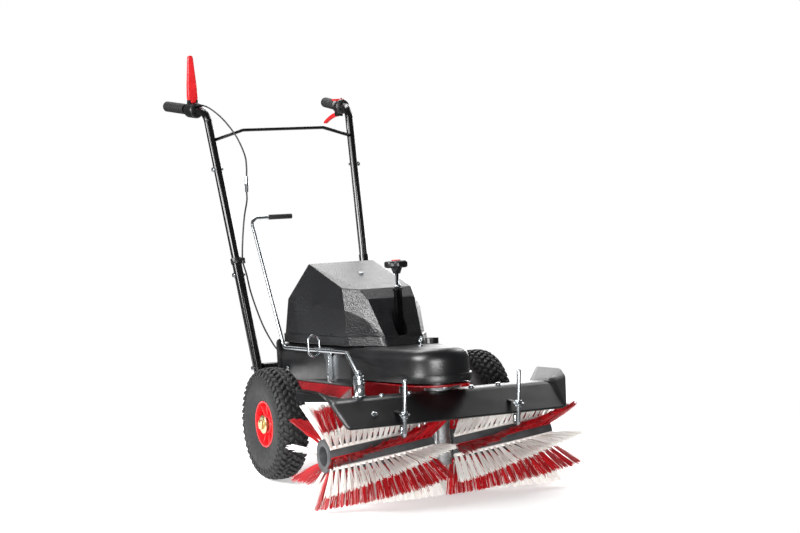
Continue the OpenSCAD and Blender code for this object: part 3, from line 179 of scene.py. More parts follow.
def coated_sheet():
    """Black powder coat on folded sheet: fine orange peel under a soft gloss."""
    material, tree, shader, place = new_material("black_powder_coat_sheet", IOR=1.5)
    tint(tree, shader, place, 0.08, "#08090A", "#0D0E0F")
    gloss(tree, shader, place, 0.05, 0.28, 0.36)
    # Orange peel of about 1 mm, drawn coarser, so that it shows
    grain(tree, shader, place, 0.003, 0.0002, 0.15)
    return material


def coated_tube():
    """Black powder coat on drawn tube, glossier, with a long streak of light along it."""
    material, tree, shader, place = new_material("black_powder_coat_tube", IOR=1.5)
    tint(tree, shader, place, 0.05, "#060607", "#0A0A0B")
    gloss(tree, shader, place, 0.04, 0.13, 0.19)
    return material


def red_coat():
    """Traffic red powder coat on the deck: satin, slightly darker in patches, and painted darker overall as
    painted shade for the shade the deck's sides lie in.
    """
    material, tree, shader, place = new_material("red_powder_coat", IOR=1.5)
    # Painted shade: both reds are darker than the deck's own traffic red, to stand in for the shade on its
    # sides; the patches between them are random
    tint(tree, shader, place, 0.06, "#7C0A12", "#930E18")
    gloss(tree, shader, place, 0.04, 0.24, 0.34)
    # Orange peel of about 1 mm, drawn coarser, so that it shows
    grain(tree, shader, place, 0.003, 0.0002, 0.15)
    return material


def red_moulding():
    """Red polypropylene, moulded: clean colour with a soft highlight."""
    material, tree, shader, place = new_material("red_polypropylene", IOR=1.49)
    tint(tree, shader, place, 0.03, "#D11A20", "#E2242A")
    gloss(tree, shader, place, 0.02, 0.3, 0.42)
    grain(tree, shader, place, 0.002, 0.0002, 0.2)
    return material


def zinc_plate():
    """Bright zinc plate on steel rod: cool white metal, faintly cloudy."""
    material, tree, shader, place = new_material("bright_zinc_plate", Metallic=1.0)
    tint(tree, shader, place, 0.07, "#A0A5A9", "#B0B5B8")
    gloss(tree, shader, place, 0.06, 0.22, 0.27)
    return material


def yellow_zinc():
    """Yellow chromate zinc on pressed steel: gold with pale and rosy clouds."""
    material, tree, shader, place = new_material("yellow_chromate_zinc", Metallic=1.0)
    tint(tree, shader, place, 0.01, "#C6B070", "#E4DAB4")
    gloss(tree, shader, place, 0.01, 0.25, 0.4)
    return material


def tyre_rubber():
    """Carbon black tyre rubber: dull, with a breath of dust on the blocks."""
    material, tree, shader, place = new_material("tyre_rubber", IOR=1.52)
    tint(tree, shader, place, 0.02, "#111213", "#1A1B1C", detail=6.0)
    gloss(tree, shader, place, 0.012, 0.55, 0.75)
    grain(tree, shader, place, 0.0015, 0.0004, 0.5)
    return material


def grip_rubber():
    """Soft black grip rubber: matt, a little lighter in small patches."""
    material, tree, shader, place = new_material("grip_rubber", IOR=1.5)
    tint(tree, shader, place, 0.01, "#0F0F10", "#171718")
    gloss(tree, shader, place, 0.01, 0.55, 0.7)
    grain(tree, shader, place, 0.001, 0.0002, 0.4)
    return material


def cable_sheath():
    """Black PVC sheath of the control cable: even, with a thin streak of gloss."""
    material, tree, shader, place = new_material("pvc_cable_sheath", IOR=1.53)
    tint(tree, shader, place, 0.02, "#0E0E0F", "#151516")
    gloss(tree, shader, place, 0.01, 0.32, 0.42)
    return material


def cast_aluminium():
    """Sand cast aluminium: pale grey, dull, with small pits."""
    material, tree, shader, place = new_material("cast_aluminium", Metallic=1.0)
    tint(tree, shader, place, 0.008, "#8E9193", "#B0B2B3")
    gloss(tree, shader, place, 0.008, 0.38, 0.55)
    grain(tree, shader, place, 0.0016, 0.0005, 0.6)
    return material


def grey_tube():
    """Dark grey polypropylene of the brush tubes: moulded, half matt."""
    material, tree, shader, place = new_material("dark_grey_polypropylene", IOR=1.49)
    tint(tree, shader, place, 0.03, "#36383A", "#444648")
    gloss(tree, shader, place, 0.02, 0.42, 0.55)
    grain(tree, shader, place, 0.002, 0.0003, 0.3)
    return material


def nylon(name, low, high):
    """Nylon filament: lets a little light through, and each strand has a shade of its own."""
    material, tree, shader, place = new_material(name, IOR=1.53)
    shader.inputs["Subsurface Weight"].default_value = 0.12
    shader.inputs["Subsurface Radius"].default_value = (0.004, 0.003, 0.003)
    strand = add_node(tree, "ShaderNodeNewGeometry").outputs["Random Per Island"]
    two_tone(tree, shader, strand, low, high, (0, 0.7))
    gloss(tree, shader, place, 0.01, 0.3, 0.45)
    return material


def motor_enamel():
    """Grey enamel on the motor's cast housing."""
    material, tree, shader, place = new_material("grey_enamel", IOR=1.5)
    tint(tree, shader, place, 0.03, "#5A5D60", "#6A6D70")
    gloss(tree, shader, place, 0.02, 0.35, 0.5)
    grain(tree, shader, place, 0.002, 0.0004, 0.4)
    return material


def battery_case():
    """Dark blue-grey polypropylene of the battery box."""
    material, tree, shader, place = new_material("blue_grey_polypropylene", IOR=1.49)
    tint(tree, shader, place, 0.03, "#27313D", "#303B48")
    gloss(tree, shader, place, 0.02, 0.4, 0.55)
    return material


ABS_GRAINED = grained_abs()
ABS_SATIN = satin_abs()
SHEET_BLACK = coated_sheet()
TUBE_BLACK = coated_tube()
RED_COAT = red_coat()
RED_MOULDING = red_moulding()
ZINC = zinc_plate()
YELLOW_ZINC = yellow_zinc()
TYRE = tyre_rubber()
GRIP = grip_rubber()
SHEATH = cable_sheath()
ALUMINIUM = cast_aluminium()
GREY_TUBE = grey_tube()
WHITE_NYLON = nylon("white_nylon", "#E6E1DA", "#FFFEFB")
RED_NYLON = nylon("red_nylon", "#6C030B", "#C4101B")
ENAMEL = motor_enamel()
CASE = battery_case()

# Finishes: the material, its slot and the CAD nodes that have it
FINISHES = [
    (ABS_GRAINED, "black_moulding", ["hood"]),
    (ABS_SATIN, "black_moulding", ["base_cover", "clutch_bracket", "trigger_bracket", "cable_clip",
                                   "height_knob"]),
    (SHEET_BLACK, "black_sheet", ["guard", "guard_bar", "rear_bracket"]),
    (TUBE_BLACK, "black_tube_paint", ["handle_crossmember", "lower_tube_left", "lower_tube_right",
                                      "upper_tube_left", "upper_tube_right", "crossbar", "spindle_tube"]),
    (RED_COAT, "red_frame_paint", ["chassis_frame"]),
    (RED_MOULDING, "red_plastic", ["rim_left", "rim_right", "clutch_lever", "trigger_lever", "thumb_lever",
                                   "knob_cap"]),
    (ZINC, "zinc", ["eye_bolt", "wheel_axle", "cover_bolts", "handle_bolts", "cable_adjuster", "rod_bracket",
                    "guard_bolts", "hook_rod_left", "hook_rod_right", "hook_plates", "brush_shaft",
                    "swivel_rod", "height_spindle", "support_strut", "tension_arm"]),
    (YELLOW_ZINC, "yellow_zinc", ["hub_left", "hub_right"]),
    (TYRE, "tyre_rubber", ["tyre_left", "tyre_right", "support_wheel"]),
    (GRIP, "soft_rubber", ["grip_left", "grip_right", "swivel_grip", "drive_belt"]),
    (SHEATH, "soft_rubber", ["bowden_cable"]),
    (ALUMINIUM, "cast_aluminium", ["gearbox", "brush_pulley", "motor_pulley"]),
    (GREY_TUBE, "core_plastic", ["brush_core_left", "brush_core_right", "idler_roller"]),
    (WHITE_NYLON, "white_bristle", ["bristles_left_white", "bristles_right_white"]),
    (RED_NYLON, "red_bristle", ["bristles_left_red", "bristles_right_red"]),
    (ENAMEL, "motor_paint", ["drive_motor"]),
    (CASE, "battery_case", ["battery_pack"]),
]
FINISH_OF = {}
for finish, slot, names in FINISHES:
    for name in names:
        FINISH_OF[name] = (finish, slot)
        solid = frame["nodes"][name]
        solid.data.materials.clear()
        solid.data.materials.append(finish)


def settle(piece, *stands_for):
    """Gives a finished piece the material and body of the CAD nodes that it stands for, and hides those
    nodes.
    """
    material, slot = FINISH_OF[stands_for[0]]
    piece.data.materials.clear()
    piece.data.materials.append(material)
    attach(piece, frame["nodes"][stands_for[0]]["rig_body"])
    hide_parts(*stands_for)


def nothing_selected():
    """Leaves edit mode, with nothing selected."""
    if bpy.context.mode != "OBJECT":
        bpy.ops.object.mode_set(mode="OBJECT")
    bpy.ops.object.select_all(action="DESELECT")


def alone(piece):
    """Makes a piece the only selected one."""
    nothing_selected()
    piece.select_set(True)
    bpy.context.view_layer.objects.active = piece


def all_in_edit(piece):
    """Opens a piece in edit mode, with all of it selected."""
    alone(piece)
    bpy.ops.object.mode_set(mode="EDIT")
    bpy.ops.mesh.select_all(action="SELECT")


def fresh(name, kind, **size):
    """Adds a primitive and names it."""
    nothing_selected()
    getattr(bpy.ops.mesh, "primitive_" + kind + "_add")(**size)
    piece = bpy.context.object
    bpy.ops.object.transform_apply(location=True, rotation=True, scale=True)
    piece.name = name
    return piece


def outline(name, points, links=(), faces=()):
    """A mesh of given points, the start of a piece that is then spun, extruded or bevelled."""
    mesh = bpy.data.meshes.new(name)
    mesh.from_pydata([tuple(p) for p in points], list(links), list(faces))
    piece = bpy.data.objects.new(name, mesh)
    scene.collection.objects.link(piece)
    alone(piece)
    return piece


def pick(piece, faces=None, edges=None):
    """Selects, in edit mode, the faces or edges that pass a test of their place."""
    alone(piece)
    bpy.ops.object.mode_set(mode="EDIT")
    bpy.ops.mesh.select_mode(type="FACE" if faces else "EDGE")
    bpy.ops.mesh.select_all(action="DESELECT")
    bpy.ops.object.mode_set(mode="OBJECT")
    points = piece.data.vertices
    if faces:
        for face in piece.data.polygons:
            face.select = bool(faces(face.center, face.normal))
    else:
        for edge in piece.data.edges:
            edge.select = bool(edges(points[edge.vertices[0]].co, points[edge.vertices[1]].co))
    bpy.ops.object.mode_set(mode="EDIT")


def clean(piece, angle=40):
    """Merges doubles, turns the normals outward and smooths the soft edges."""
    all_in_edit(piece)
    bpy.ops.mesh.remove_doubles(threshold=MERGE)
    bpy.ops.mesh.normals_make_consistent(inside=False)
    bpy.ops.object.mode_set(mode="OBJECT")
    bpy.ops.object.shade_smooth_by_angle(angle=math.radians(angle))


def flattened(piece):
    """Keeps the large faces flat in the light and leaves the bend to the rounded edges."""
    alone(piece)
    even = piece.modifiers.new("even", "WEIGHTED_NORMAL")
    even.keep_sharp = True
    bpy.ops.object.modifier_apply(modifier="even")


def round_edges(piece, width, segments=2, angle=32):
    """Rounds every edge sharper than an angle."""
    alone(piece)
    bevel = piece.modifiers.new("round", "BEVEL")
    bevel.width = width
    bevel.segments = segments
    bevel.limit_method = "ANGLE"
    bevel.angle_limit = math.radians(angle)
    bpy.ops.object.modifier_apply(modifier="round")


def cut(piece, tool):
    """Cuts one piece out of another and drops the tool."""
    alone(piece)
    boolean = piece.modifiers.new("cut", "BOOLEAN")
    boolean.operation = "DIFFERENCE"
    boolean.solver = "EXACT"
    boolean.object = tool
    bpy.ops.object.modifier_apply(modifier="cut")
    bpy.data.objects.remove(tool)


def weld(name, pieces):
    """Joins pieces into one object."""
    alone(pieces[0])
    for piece in pieces:
        piece.select_set(True)
    bpy.ops.object.join()
    pieces[0].name = name
    return pieces[0]


def added(piece, *others):
    """Joins further shapes into a settled piece, in its own material."""
    for other in others:
        other.data.materials.clear()
        other.data.materials.append(piece.data.materials[0])
    return weld(piece.name, [piece, *others])


def placed(piece, matrix):
    """Moves a piece's mesh to its place."""
    piece.data.transform(matrix)
    piece.data.update()
    return piece


def copied(piece, matrix):
    """A copy of a piece with its own mesh at another place."""
    twin = bpy.data.objects.new(piece.name, piece.data.copy())
    scene.collection.objects.link(twin)
    return placed(twin, matrix)


def formed(name):
    """A copy of a CAD node, to be finished as the piece that is seen."""
    piece = bpy.data.objects.new(name + "_form", frame["nodes"][name].data.copy())
    scene.collection.objects.link(piece)
    return piece


def softened(name, width):
    """The CAD shape of a piece with its sharp edges rounded as on the real casting or pressing."""
    piece = formed(name)
    all_in_edit(piece)
    bpy.ops.mesh.remove_doubles(threshold=MERGE)
    bpy.ops.mesh.dissolve_limited(angle_limit=math.radians(1.5))
    bpy.ops.mesh.normals_make_consistent(inside=False)
    bpy.ops.object.mode_set(mode="OBJECT")
    round_edges(piece, width)
    clean(piece)
    settle(piece, name)
    return piece


def smoothed(name):
    """The CAD shape of a rod or tube, shaded as one round surface."""
    piece = formed(name)
    clean(piece)
    settle(piece, name)


def span(name):
    """The low and the high corner of a CAD node."""
    spots = [point.co for point in frame["nodes"][name].data.vertices]
    return [Vector([least(spot[i] for spot in spots) for i in range(3)]) for least in (min, max)]


def plate(name, points, depth):
    """A flat outline in X and Z with an even thickness along Y."""
    piece = outline(name, [(x, -depth / 2, z) for x, z in points], (), [tuple(range(len(points)))])
    pick(piece, faces=lambda c, n: True)
    bpy.ops.mesh.extrude_region_move(TRANSFORM_OT_translate={"value": (0, depth, 0)})
    bpy.ops.object.mode_set(mode="OBJECT")
    clean(piece)
    return piece


def spun(name, profile, steps, axis=(1, 0, 0)):
    """A closed profile in X and Z, turned all the way round an axis through the origin."""
    count = len(profile)
    piece = outline(name, [(x, 0, z) for x, z in profile], [(i, (i + 1) % count) for i in range(count)])
    all_in_edit(piece)
    bpy.ops.mesh.spin(steps=steps, angle=2 * math.pi, center=(0, 0, 0), axis=axis)
    bpy.ops.object.mode_set(mode="OBJECT")
    clean(piece)
    return piece


def round_curve(name, path, thick, fineness):
    """A round curve along a path of places, each with its share of the thickness."""
    curve = bpy.data.curves.new(name, "CURVE")
    curve.dimensions = "3D"
    curve.bevel_depth = thick
    curve.bevel_resolution = fineness
    curve.use_fill_caps = True
    track = curve.splines.new("POLY")
    track.points.add(len(path) - 1)
    for point, (spot, size) in zip(track.points, path):
        point.co = (*spot, 1)
        point.radius = size
    piece = bpy.data.objects.new(name, curve)
    scene.collection.objects.link(piece)
    return piece


# Control cable along the route of the CAD part, held at its clamp, its clip and the rear post
CABLE_R = 0.0025
CABLE_ROUTE = [
    (-0.239, 0.746, 0.975), (-0.226, 0.700, 0.968), (-0.206, 0.640, 0.938), (-0.186, 0.584, 0.890),
    (-0.171, 0.554, 0.836), (-0.168, 0.548, 0.800), (-0.168, 0.548, 0.776), (-0.168, 0.548, 0.724),
    (-0.168, 0.548, 0.700), (-0.174, 0.555, 0.650), (-0.182, 0.550, 0.580), (-0.187, 0.538, 0.525),
    (-0.181, 0.524, 0.486), (-0.176, 0.500, 0.430), (-0.158, 0.462, 0.346), (-0.136, 0.436, 0.290),
    (-0.124, 0.424, 0.2705), (-0.122, 0.4115, 0.268),
]


def spline_points(route, steps):
    """Points along a smooth line through a route."""
    spots = [MACHINE @ Vector(p) for p in route]
    line = []
    for i in range(len(spots) - 1):
        a, b = spots[max(i - 1, 0)], spots[i]
        c, d = spots[i + 1], spots[min(i + 2, len(spots) - 1)]
        for k in range(steps):
            t = k / steps
            line.append((2 * b + (c - a) * t + (2 * a - 5 * b + 4 * c - d) * t * t
                         + (3 * b - a - 3 * c + d) * t ** 3) / 2)
    return line + [spots[-1]]


def build_cable():
    """The sheathed cable as one cord, from the clutch clamp to the rear post."""
    line = spline_points(CABLE_ROUTE, 6)
    cable = round_curve("control_cable", [(spot, 1) for spot in line], CABLE_R, 4)
    settle(cable, "bowden_cable")


# Brush: clamping strips on the tubes and dense fans of nylon, alternately white and red
TUBE_ENDS = (0.028, 0.326)
ROWS = 10
ROW_TWIST = math.radians(46) / (TUBE_ENDS[1] - TUBE_ENDS[0])
ROOT_R = 0.04525
REACH = BRUSH_R - ROOT_R
STRIP_R = (0.04325, 0.04825)
STRIP_HALF = 0.004
STRIP_CHAMFER = 0.0012
STRIP_START = 0.032
STRIP_RUN = 0.290
STRIP_RINGS = 28
TUFTS = 19
TUFT_START = 0.035
TUFT_RUN = 0.284
TUFT_SEEDS = (3, 14, 15, 92)
BRUSH_SEED = 65

# One tuft, along and across the row: its hole, the spread and stray of the tips, the sway of the strands
FILAMENTS = 38
HOLE = (0.0031, 0.0026)
TIP_SPREAD = (3.5, 2.5)
TIP_STRAY = (0.0026, 0.0020)
STRAND_SWAY = (0.0009, 0.0011)
STRAND_R = (0.00085, 0.0007)
STRAND_SHARE = (0.94, 0.998)

# Lean of the tufts: none at one share of the tube, outward beyond it, inward before it, less at the neck
UPRIGHT = 0.4
LEAN_OUT = 0.072
LEAN_IN = 0.045
LEAN_STRAY = 0.0010
ROW_STRAY = 0.008
NECK_ANGLE = 0.7


def row_angle(row, x):
    """Both halves are one moulding, so each row starts afresh at the left end of its tube."""
    start = TUBE_ENDS[0] if x > 0 else -TUBE_ENDS[1]
    return math.radians(360 / ROWS) * row - ROW_TWIST * (x - start)


def on_brush(x, radius, angle):
    """A place round the brush axis."""
    return Vector((x, BRUSH_Y + radius * math.cos(angle), BRUSH_R + radius * math.sin(angle)))


def tuft_pattern(seed):
    """One tuft: filaments that leave one hole together and spread towards their tips."""
    chance = random.Random(seed)
    hairs = []
    for _ in range(FILAMENTS):
        turn = chance.uniform(0, 2 * math.pi)
        out = math.sqrt(chance.random())
        root = Vector((HOLE[0] * out * math.cos(turn), HOLE[1] * out * math.sin(turn), 0))
        tip = Vector((root.x * TIP_SPREAD[0] + chance.gauss(0, TIP_STRAY[0]),
                      root.y * TIP_SPREAD[1] + chance.gauss(0, TIP_STRAY[1]),
                      REACH * chance.uniform(*STRAND_SHARE)))
        hair = fresh("hair", "cone", vertices=3, radius1=STRAND_R[0], radius2=STRAND_R[1], depth=1,
                     end_fill_type="NOTHING", location=(0, 0, 0.5))
        pick(hair, edges=lambda a, b: abs(a.z - b.z) > 0.5)
        bpy.ops.mesh.subdivide(number_cuts=1)
        bpy.ops.object.mode_set(mode="OBJECT")
        sway = Vector((chance.gauss(0, STRAND_SWAY[0]), chance.gauss(0, STRAND_SWAY[1]), 0))
        for point in hair.data.vertices:
            share = point.co.z
            bow = sway * (4 * share * (1 - share))
            point.co = Vector((point.co.x, point.co.y, 0)) + root.lerp(tip, share) + bow
        hairs.append(hair)
    return weld("tuft", hairs)


def clamp_strip(side, row):
    """The U-shaped strip that holds one row, wound along the tube."""
    low, high = STRIP_R
    section = [(low, -1), (high - STRIP_CHAMFER, -1), (high, -0.7),
               (high, 0.7), (high - STRIP_CHAMFER, 1), (low, 1)]
    count = len(section)
    half = STRIP_HALF / low
    points, faces = [], []
    for i in range(STRIP_RINGS + 1):
        x = side * (STRIP_START + STRIP_RUN * i / STRIP_RINGS)
        angle = row_angle(row, x)
        points += [on_brush(x, radius, angle + shift * half) for radius, shift in section]
        if i:
            base = count * i
            faces += [(base + k, base + (k + 1) % count, base - count + (k + 1) % count, base - count + k)
                      for k in range(count)]
    faces += [tuple(range(count)), tuple(range(count * STRIP_RINGS, count * STRIP_RINGS + count))]
    strip = outline("strip", points, (), faces)
    clean(strip)
    return strip


def tuft_place(chance, side, row, share):
    """Where a tuft stands at a share of its row: its hole, its lean and which way round it is."""
    x = side * (TUFT_START + TUFT_RUN * share)
    angle = row_angle(row, x) + chance.gauss(0, ROW_STRAY)
    clear = min(abs(math.remainder(angle - math.pi / 2, 2 * math.pi)) / NECK_ANGLE, 1)
    lean = LEAN_OUT if share > UPRIGHT else LEAN_IN * clear
    out = (share - UPRIGHT) * lean + chance.gauss(0, LEAN_STRAY)
    grow = Vector((side * out / REACH, math.cos(angle), math.sin(angle)))
    across = Vector((0, -math.sin(angle), math.cos(angle)))
    root = on_brush(x, ROOT_R, angle)
    flip = chance.choice((-1, 1))
    return Matrix(((flip, 0, grow.x, root.x), (0, flip * across.y, grow.y, root.y),
                   (0, flip * across.z, grow.z, root.z), (0, 0, 0, 1)))


def build_bristles():
    """Strips and tufts of both halves of the brush, one piece for each half and colour."""
    patterns = [tuft_pattern(seed) for seed in TUFT_SEEDS]
    chance = random.Random(BRUSH_SEED)
    for side, half in SIDES:
        for first, colour in ((0, "white"), (1, "red")):
            parts = []
            for row in range(first, ROWS, 2):
                parts.append(clamp_strip(side, row))
                for i in range(TUFTS):
                    place = tuft_place(chance, side, row, i / (TUFTS - 1))
                    parts.append(copied(chance.choice(patterns), place))
            piece = weld("brush_" + half + "_" + colour, parts)
            settle(piece, "bristles_" + half + "_" + colour)
    for pattern in patterns:
        bpy.data.objects.remove(pattern)


# Wheels: pneumatic tyre with turf tread, ribbed rim and plated hub, each modelled round the origin
TREAD_PITCHES = 44
SPOKES = 9
SPOKE_MID = (0.0135, 0, 0.0400)
SPOKE_SIZE = (0.0170, 0.0052, 0.0330)
SPOKE_FLARE = 0.0045


def wheel_place(side):
    """One end of the axle, with the wheel's outer face outward."""
    return Matrix.Translation((side * WHEEL_X, AXLE_Y, WHEEL_R)) @ Matrix.Diagonal((side, 1, 1, 1))


def tread_block(name, long, wide, high, slant, chamfer=0.0022):
    """One rubber block, slanted along the tread and narrower at its face."""
    block = fresh(name, "cube", size=1)
    placed(block, Matrix.Diagonal((wide, long, high, 1)))
    pick(block, faces=lambda c, n: n.z > 0.9)
    bpy.ops.transform.resize(value=(0.86, 0.84, 1), center_override=(0, 0, 0))
    bpy.ops.object.mode_set(mode="OBJECT")
    for point in block.data.vertices:
        point.co.y += slant * point.co.x
    pick(block, edges=lambda a, b: a.z > 0 and b.z > 0)
    bpy.ops.mesh.bevel(offset=chamfer, segments=2, affect="EDGES")
    bpy.ops.object.mode_set(mode="OBJECT")
    return block


def build_tyre(side, half):
    """A carcass with five kinds of rubber block in nine rows round it."""
    profile = [
        (-0.030, 0.0616), (-0.0345, 0.0700), (-0.0352, 0.0760), (-0.0385, 0.0860), (-0.0412, 0.0980),
        (-0.0420, 0.1100), (-0.0410, 0.1220), (-0.0380, 0.1330), (-0.0320, 0.1405), (-0.0220, 0.1440),
        (-0.0100, 0.1452),
    ]
    profile += [(-x, radius) for x, radius in reversed(profile)]
    parts = [spun("carcass", profile, 96)]
    middle = tread_block("middle", 0.0128, 0.0125, 0.0085, 0.55)
    inner = tread_block("inner", 0.0132, 0.0125, 0.0085, -0.55)
    outer = tread_block("outer", 0.0122, 0.0120, 0.0085, 0.45)
    lug = tread_block("lug", 0.0108, 0.0130, 0.0085, -0.3)
    sidebar = tread_block("sidebar", 0.0085, 0.0120, 0.0045, 0.15, 0.0014)
    # Rows of blocks: place across the tread, radius, lean in degrees and shift in pitches
    rows = [(middle, 0, 0.1479, 0, 0)]
    for block, x, radius, lean, shift in (
            (inner, 0.0134, 0.1474, 5, 0.5), (outer, 0.0262, 0.1447, 20, 0),
            (lug, 0.0364, 0.1372, 48, 0.5), (sidebar, 0.0408, 0.1268, 76, 0)):
        rows += [(block, x, radius, lean, shift), (block, -x, radius, -lean, shift)]
    for k in range(TREAD_PITCHES):
        for block, x, radius, lean, shift in rows:
            turn = Matrix.Rotation((k + shift) * 2 * math.pi / TREAD_PITCHES, 4, "X")
            seat = Matrix.Translation((x, 0, radius)) @ Matrix.Rotation(math.radians(lean), 4, "Y")
            mirror = Matrix.Diagonal((1, -1 if x < 0 else 1, 1, 1))
            parts.append(copied(block, turn @ seat @ mirror))
    for block in (middle, inner, outer, lug, sidebar):
        bpy.data.objects.remove(block)
    tyre = weld("tyre_tread_" + half, parts)
    placed(tyre, wheel_place(side))
    clean(tyre, angle=50)
    settle(tyre, "tyre_" + half)


def build_rim(side, half):
    """Barrel, disc and boss, stiffened by flat spokes."""
    barrel = spun("barrel", [
        (0.0315, 0.0585), (0.0320, 0.0622), (0.0300, 0.0628), (0.0285, 0.0615), (-0.0285, 0.0615),
        (-0.0300, 0.0628), (-0.0320, 0.0622), (-0.0315, 0.0585), (-0.0150, 0.0560), (0.0060, 0.0550),
        (0.0200, 0.0560),
    ], 72)
    disc = spun("disc", [
        (0.0020, 0.0165), (0.0060, 0.0165), (0.0070, 0.0300), (0.0040, 0.0560), (0.0000, 0.0560),
        (0.0020, 0.0300),
    ], 72)
    boss = spun("boss", [
        (-0.0310, 0.0162), (0.0230, 0.0162), (0.0252, 0.0190), (0.0252, 0.0230), (0.0220, 0.0255),
        (0.0020, 0.0285), (-0.0310, 0.0240),
    ], 48)
    parts = [barrel, disc, boss]
    spoke = fresh("spoke", "cube", size=1)
    placed(spoke, Matrix.Translation(SPOKE_MID) @ Matrix.Diagonal((*SPOKE_SIZE, 1)))
    for point in spoke.data.vertices:
        if point.co.x > SPOKE_MID[0] and point.co.z > SPOKE_MID[2]:
            point.co.x += SPOKE_FLARE
    round_edges(spoke, 0.0014)
    for k in range(SPOKES):
        parts.append(copied(spoke, Matrix.Rotation(2 * math.pi * k / SPOKES, 4, "X")))
    bpy.data.objects.remove(spoke)
    rim = weld("rim_spokes_" + half, parts)
    placed(rim, wheel_place(side))
    clean(rim)
    settle(rim, "rim_" + half)


def build_hub(side, half):
    """Pressed flange, hexagon nut and the end of the axle."""
    end = max(abs(corner.x) for corner in span("hub_" + half)) - WHEEL_X
    flange = spun("flange", [
        (end - 0.077, 0.0102), (end - 0.077, 0.0157), (end - 0.013, 0.0157), (end - 0.013, 0.0238),
        (end - 0.0118, 0.0250), (end - 0.0102, 0.0250), (end - 0.0088, 0.0232), (end - 0.0080, 0.0190),
        (end - 0.0080, 0.0102),
    ], 64)
    nut = fresh("nut", "cylinder", vertices=6, radius=0.0142, depth=0.0075)
    round_edges(nut, 0.0012, segments=3)
    placed(nut, Matrix.Translation((end - 0.0045, 0, 0)) @ Matrix.Rotation(math.pi / 2, 4, "Y"))
    tip = spun("tip", [
        (end - 0.009, 0.0001), (end - 0.009, 0.0080), (end - 0.0012, 0.0080), (end, 0.0066), (end, 0.0001),
    ], 40)
    hub = weld("hub_flange_" + half, [flange, nut, tip])
    placed(hub, wheel_place(side))
    clean(hub)
    settle(hub, "hub_" + half)


# Hood: faceted moulding with a band round its foot, a dish for the height spindle and a fuller right edge
HOOD_FOOT = 0.1082
HOOD_POINTS = [
    (0.111, 0.393, 0), (0.111, 0.3498, 0.1266), (0.100, 0.2103, 0.226), (0.1055, -0.0215, 0.1582),
    (0.111, -0.043, 0.0994), (0.111, -0.043, 0), (0.078, -0.0765, 0.1537), (0.070, -0.1121, 0.1266),
    (0.056, -0.1727, 0.0294), (0.056, -0.178, 0), (0.0845, -0.108, 0.076),
]
HOOD_RIGHT = [(0.118, -0.070, 0), (0.114, -0.055, 0.095), (0.107, -0.030, 0.152)]
HOOD_EDGE = 0.0048
DISH_SPOT = (0, -0.160, HOOD_FOOT + 0.066)
DISH_SIZE = (0.019, 0.024, 0.062)
DISH_TILT = math.radians(-18)
BAND_TALL = 0.026
BAND_LIP = 0.003
BAND_FRONT = -0.15
BAND_SLOPE = 0.009
BAND_CORNER = 0.012


def hood_band():
    """The band round the hood's foot, rounded at its corners and sloped in front."""
    ring = [(x + BAND_LIP, y + math.copysign(BAND_LIP, y)) for x, y, z in HOOD_POINTS if z == 0]
    ring += [(-x, y) for x, y in reversed(ring)]
    # The fuller right edge of the hood moves one corner of its band
    ring[1] = (HOOD_RIGHT[0][0] + BAND_LIP, HOOD_RIGHT[0][1] - BAND_LIP)
    band = outline("band", [(x, y, HOOD_FOOT) for x, y in ring], (), [tuple(range(len(ring)))])
    pick(band, faces=lambda c, n: True)
    bpy.ops.mesh.extrude_region_move(TRANSFORM_OT_translate={"value": (0, 0, BAND_TALL)})
    bpy.ops.object.mode_set(mode="OBJECT")
    clean(band)
    for point in band.data.vertices:
        if point.co.y < BAND_FRONT:
            point.co.y += BAND_SLOPE if point.co.z > HOOD_FOOT + BAND_TALL / 2 else -BAND_SLOPE
    pick(band, edges=lambda a, b: abs(a.z - b.z) > BAND_TALL / 2)
    bpy.ops.mesh.bevel(offset=BAND_CORNER, segments=5, affect="EDGES")
    bpy.ops.object.mode_set(mode="OBJECT")
    round_edges(band, 0.0022, segments=3, angle=50)
    return band


def build_hood():
    """The faceted moulding with rounded edges, its dish and its band."""
    points = [(s * x, y, HOOD_FOOT + z) for x, y, z in HOOD_POINTS for s in (-1, 1)]
    points += [(x, y, HOOD_FOOT + z) for x, y, z in HOOD_RIGHT]
    body = outline("hood_moulding", points)
    all_in_edit(body)
    bpy.ops.mesh.convex_hull()
    bpy.ops.mesh.dissolve_limited(angle_limit=math.radians(3))
    bpy.ops.object.mode_set(mode="OBJECT")
    pick(body, edges=lambda a, b: max(a.z, b.z) > HOOD_FOOT + NEAR)
    bpy.ops.mesh.bevel(offset=HOOD_EDGE, segments=4, profile=0.5, affect="EDGES", clamp_overlap=True)
    bpy.ops.object.mode_set(mode="OBJECT")
    dish = fresh("dish", "uv_sphere", segments=32, ring_count=16, radius=1)
    placed(dish, Matrix.Translation(DISH_SPOT) @ Matrix.Rotation(DISH_TILT, 4, "X")
           @ Matrix.Diagonal((*DISH_SIZE, 1)))
    cut(body, dish)
    hood = weld("hood_moulding", [body, hood_band()])
    placed(hood, DECK)
    clean(hood, angle=28)
    flattened(hood)
    settle(hood, "hood")


# Guard: one folded sheet with raised wings, a hemmed lip and downturned rear corners
GUARD_LIP = 0.231
GUARD_REAR = (-0.356, -0.252)
GUARD_EDGE = [
    (0.308, -0.490, GUARD_LIP), (0.347, -0.422, 0.302), (0.322, -0.395, 0.284), (0.354, -0.386, 0.314),
    (0.279, GUARD_REAR[0], 0.284), (0.354, GUARD_REAR[1], 0.297),
]
GUARD_SKIN = [
    (0, 1, 2), (1, 3, 2), (2, 3, 5, 4), (6, 0, 2, 8), (8, 2, 4, 10), (8, 7, 6), (8, 9, 7), (10, 11, 9, 8),
]
LIP_FOLD = (0, 0.010, -0.0035)
REAR_FOLD = (0, 0.002, -0.010)
CORNER_DROP = 0.026
GUARD_FOLD = 0.016
GUARD_SHEET = 0.0035


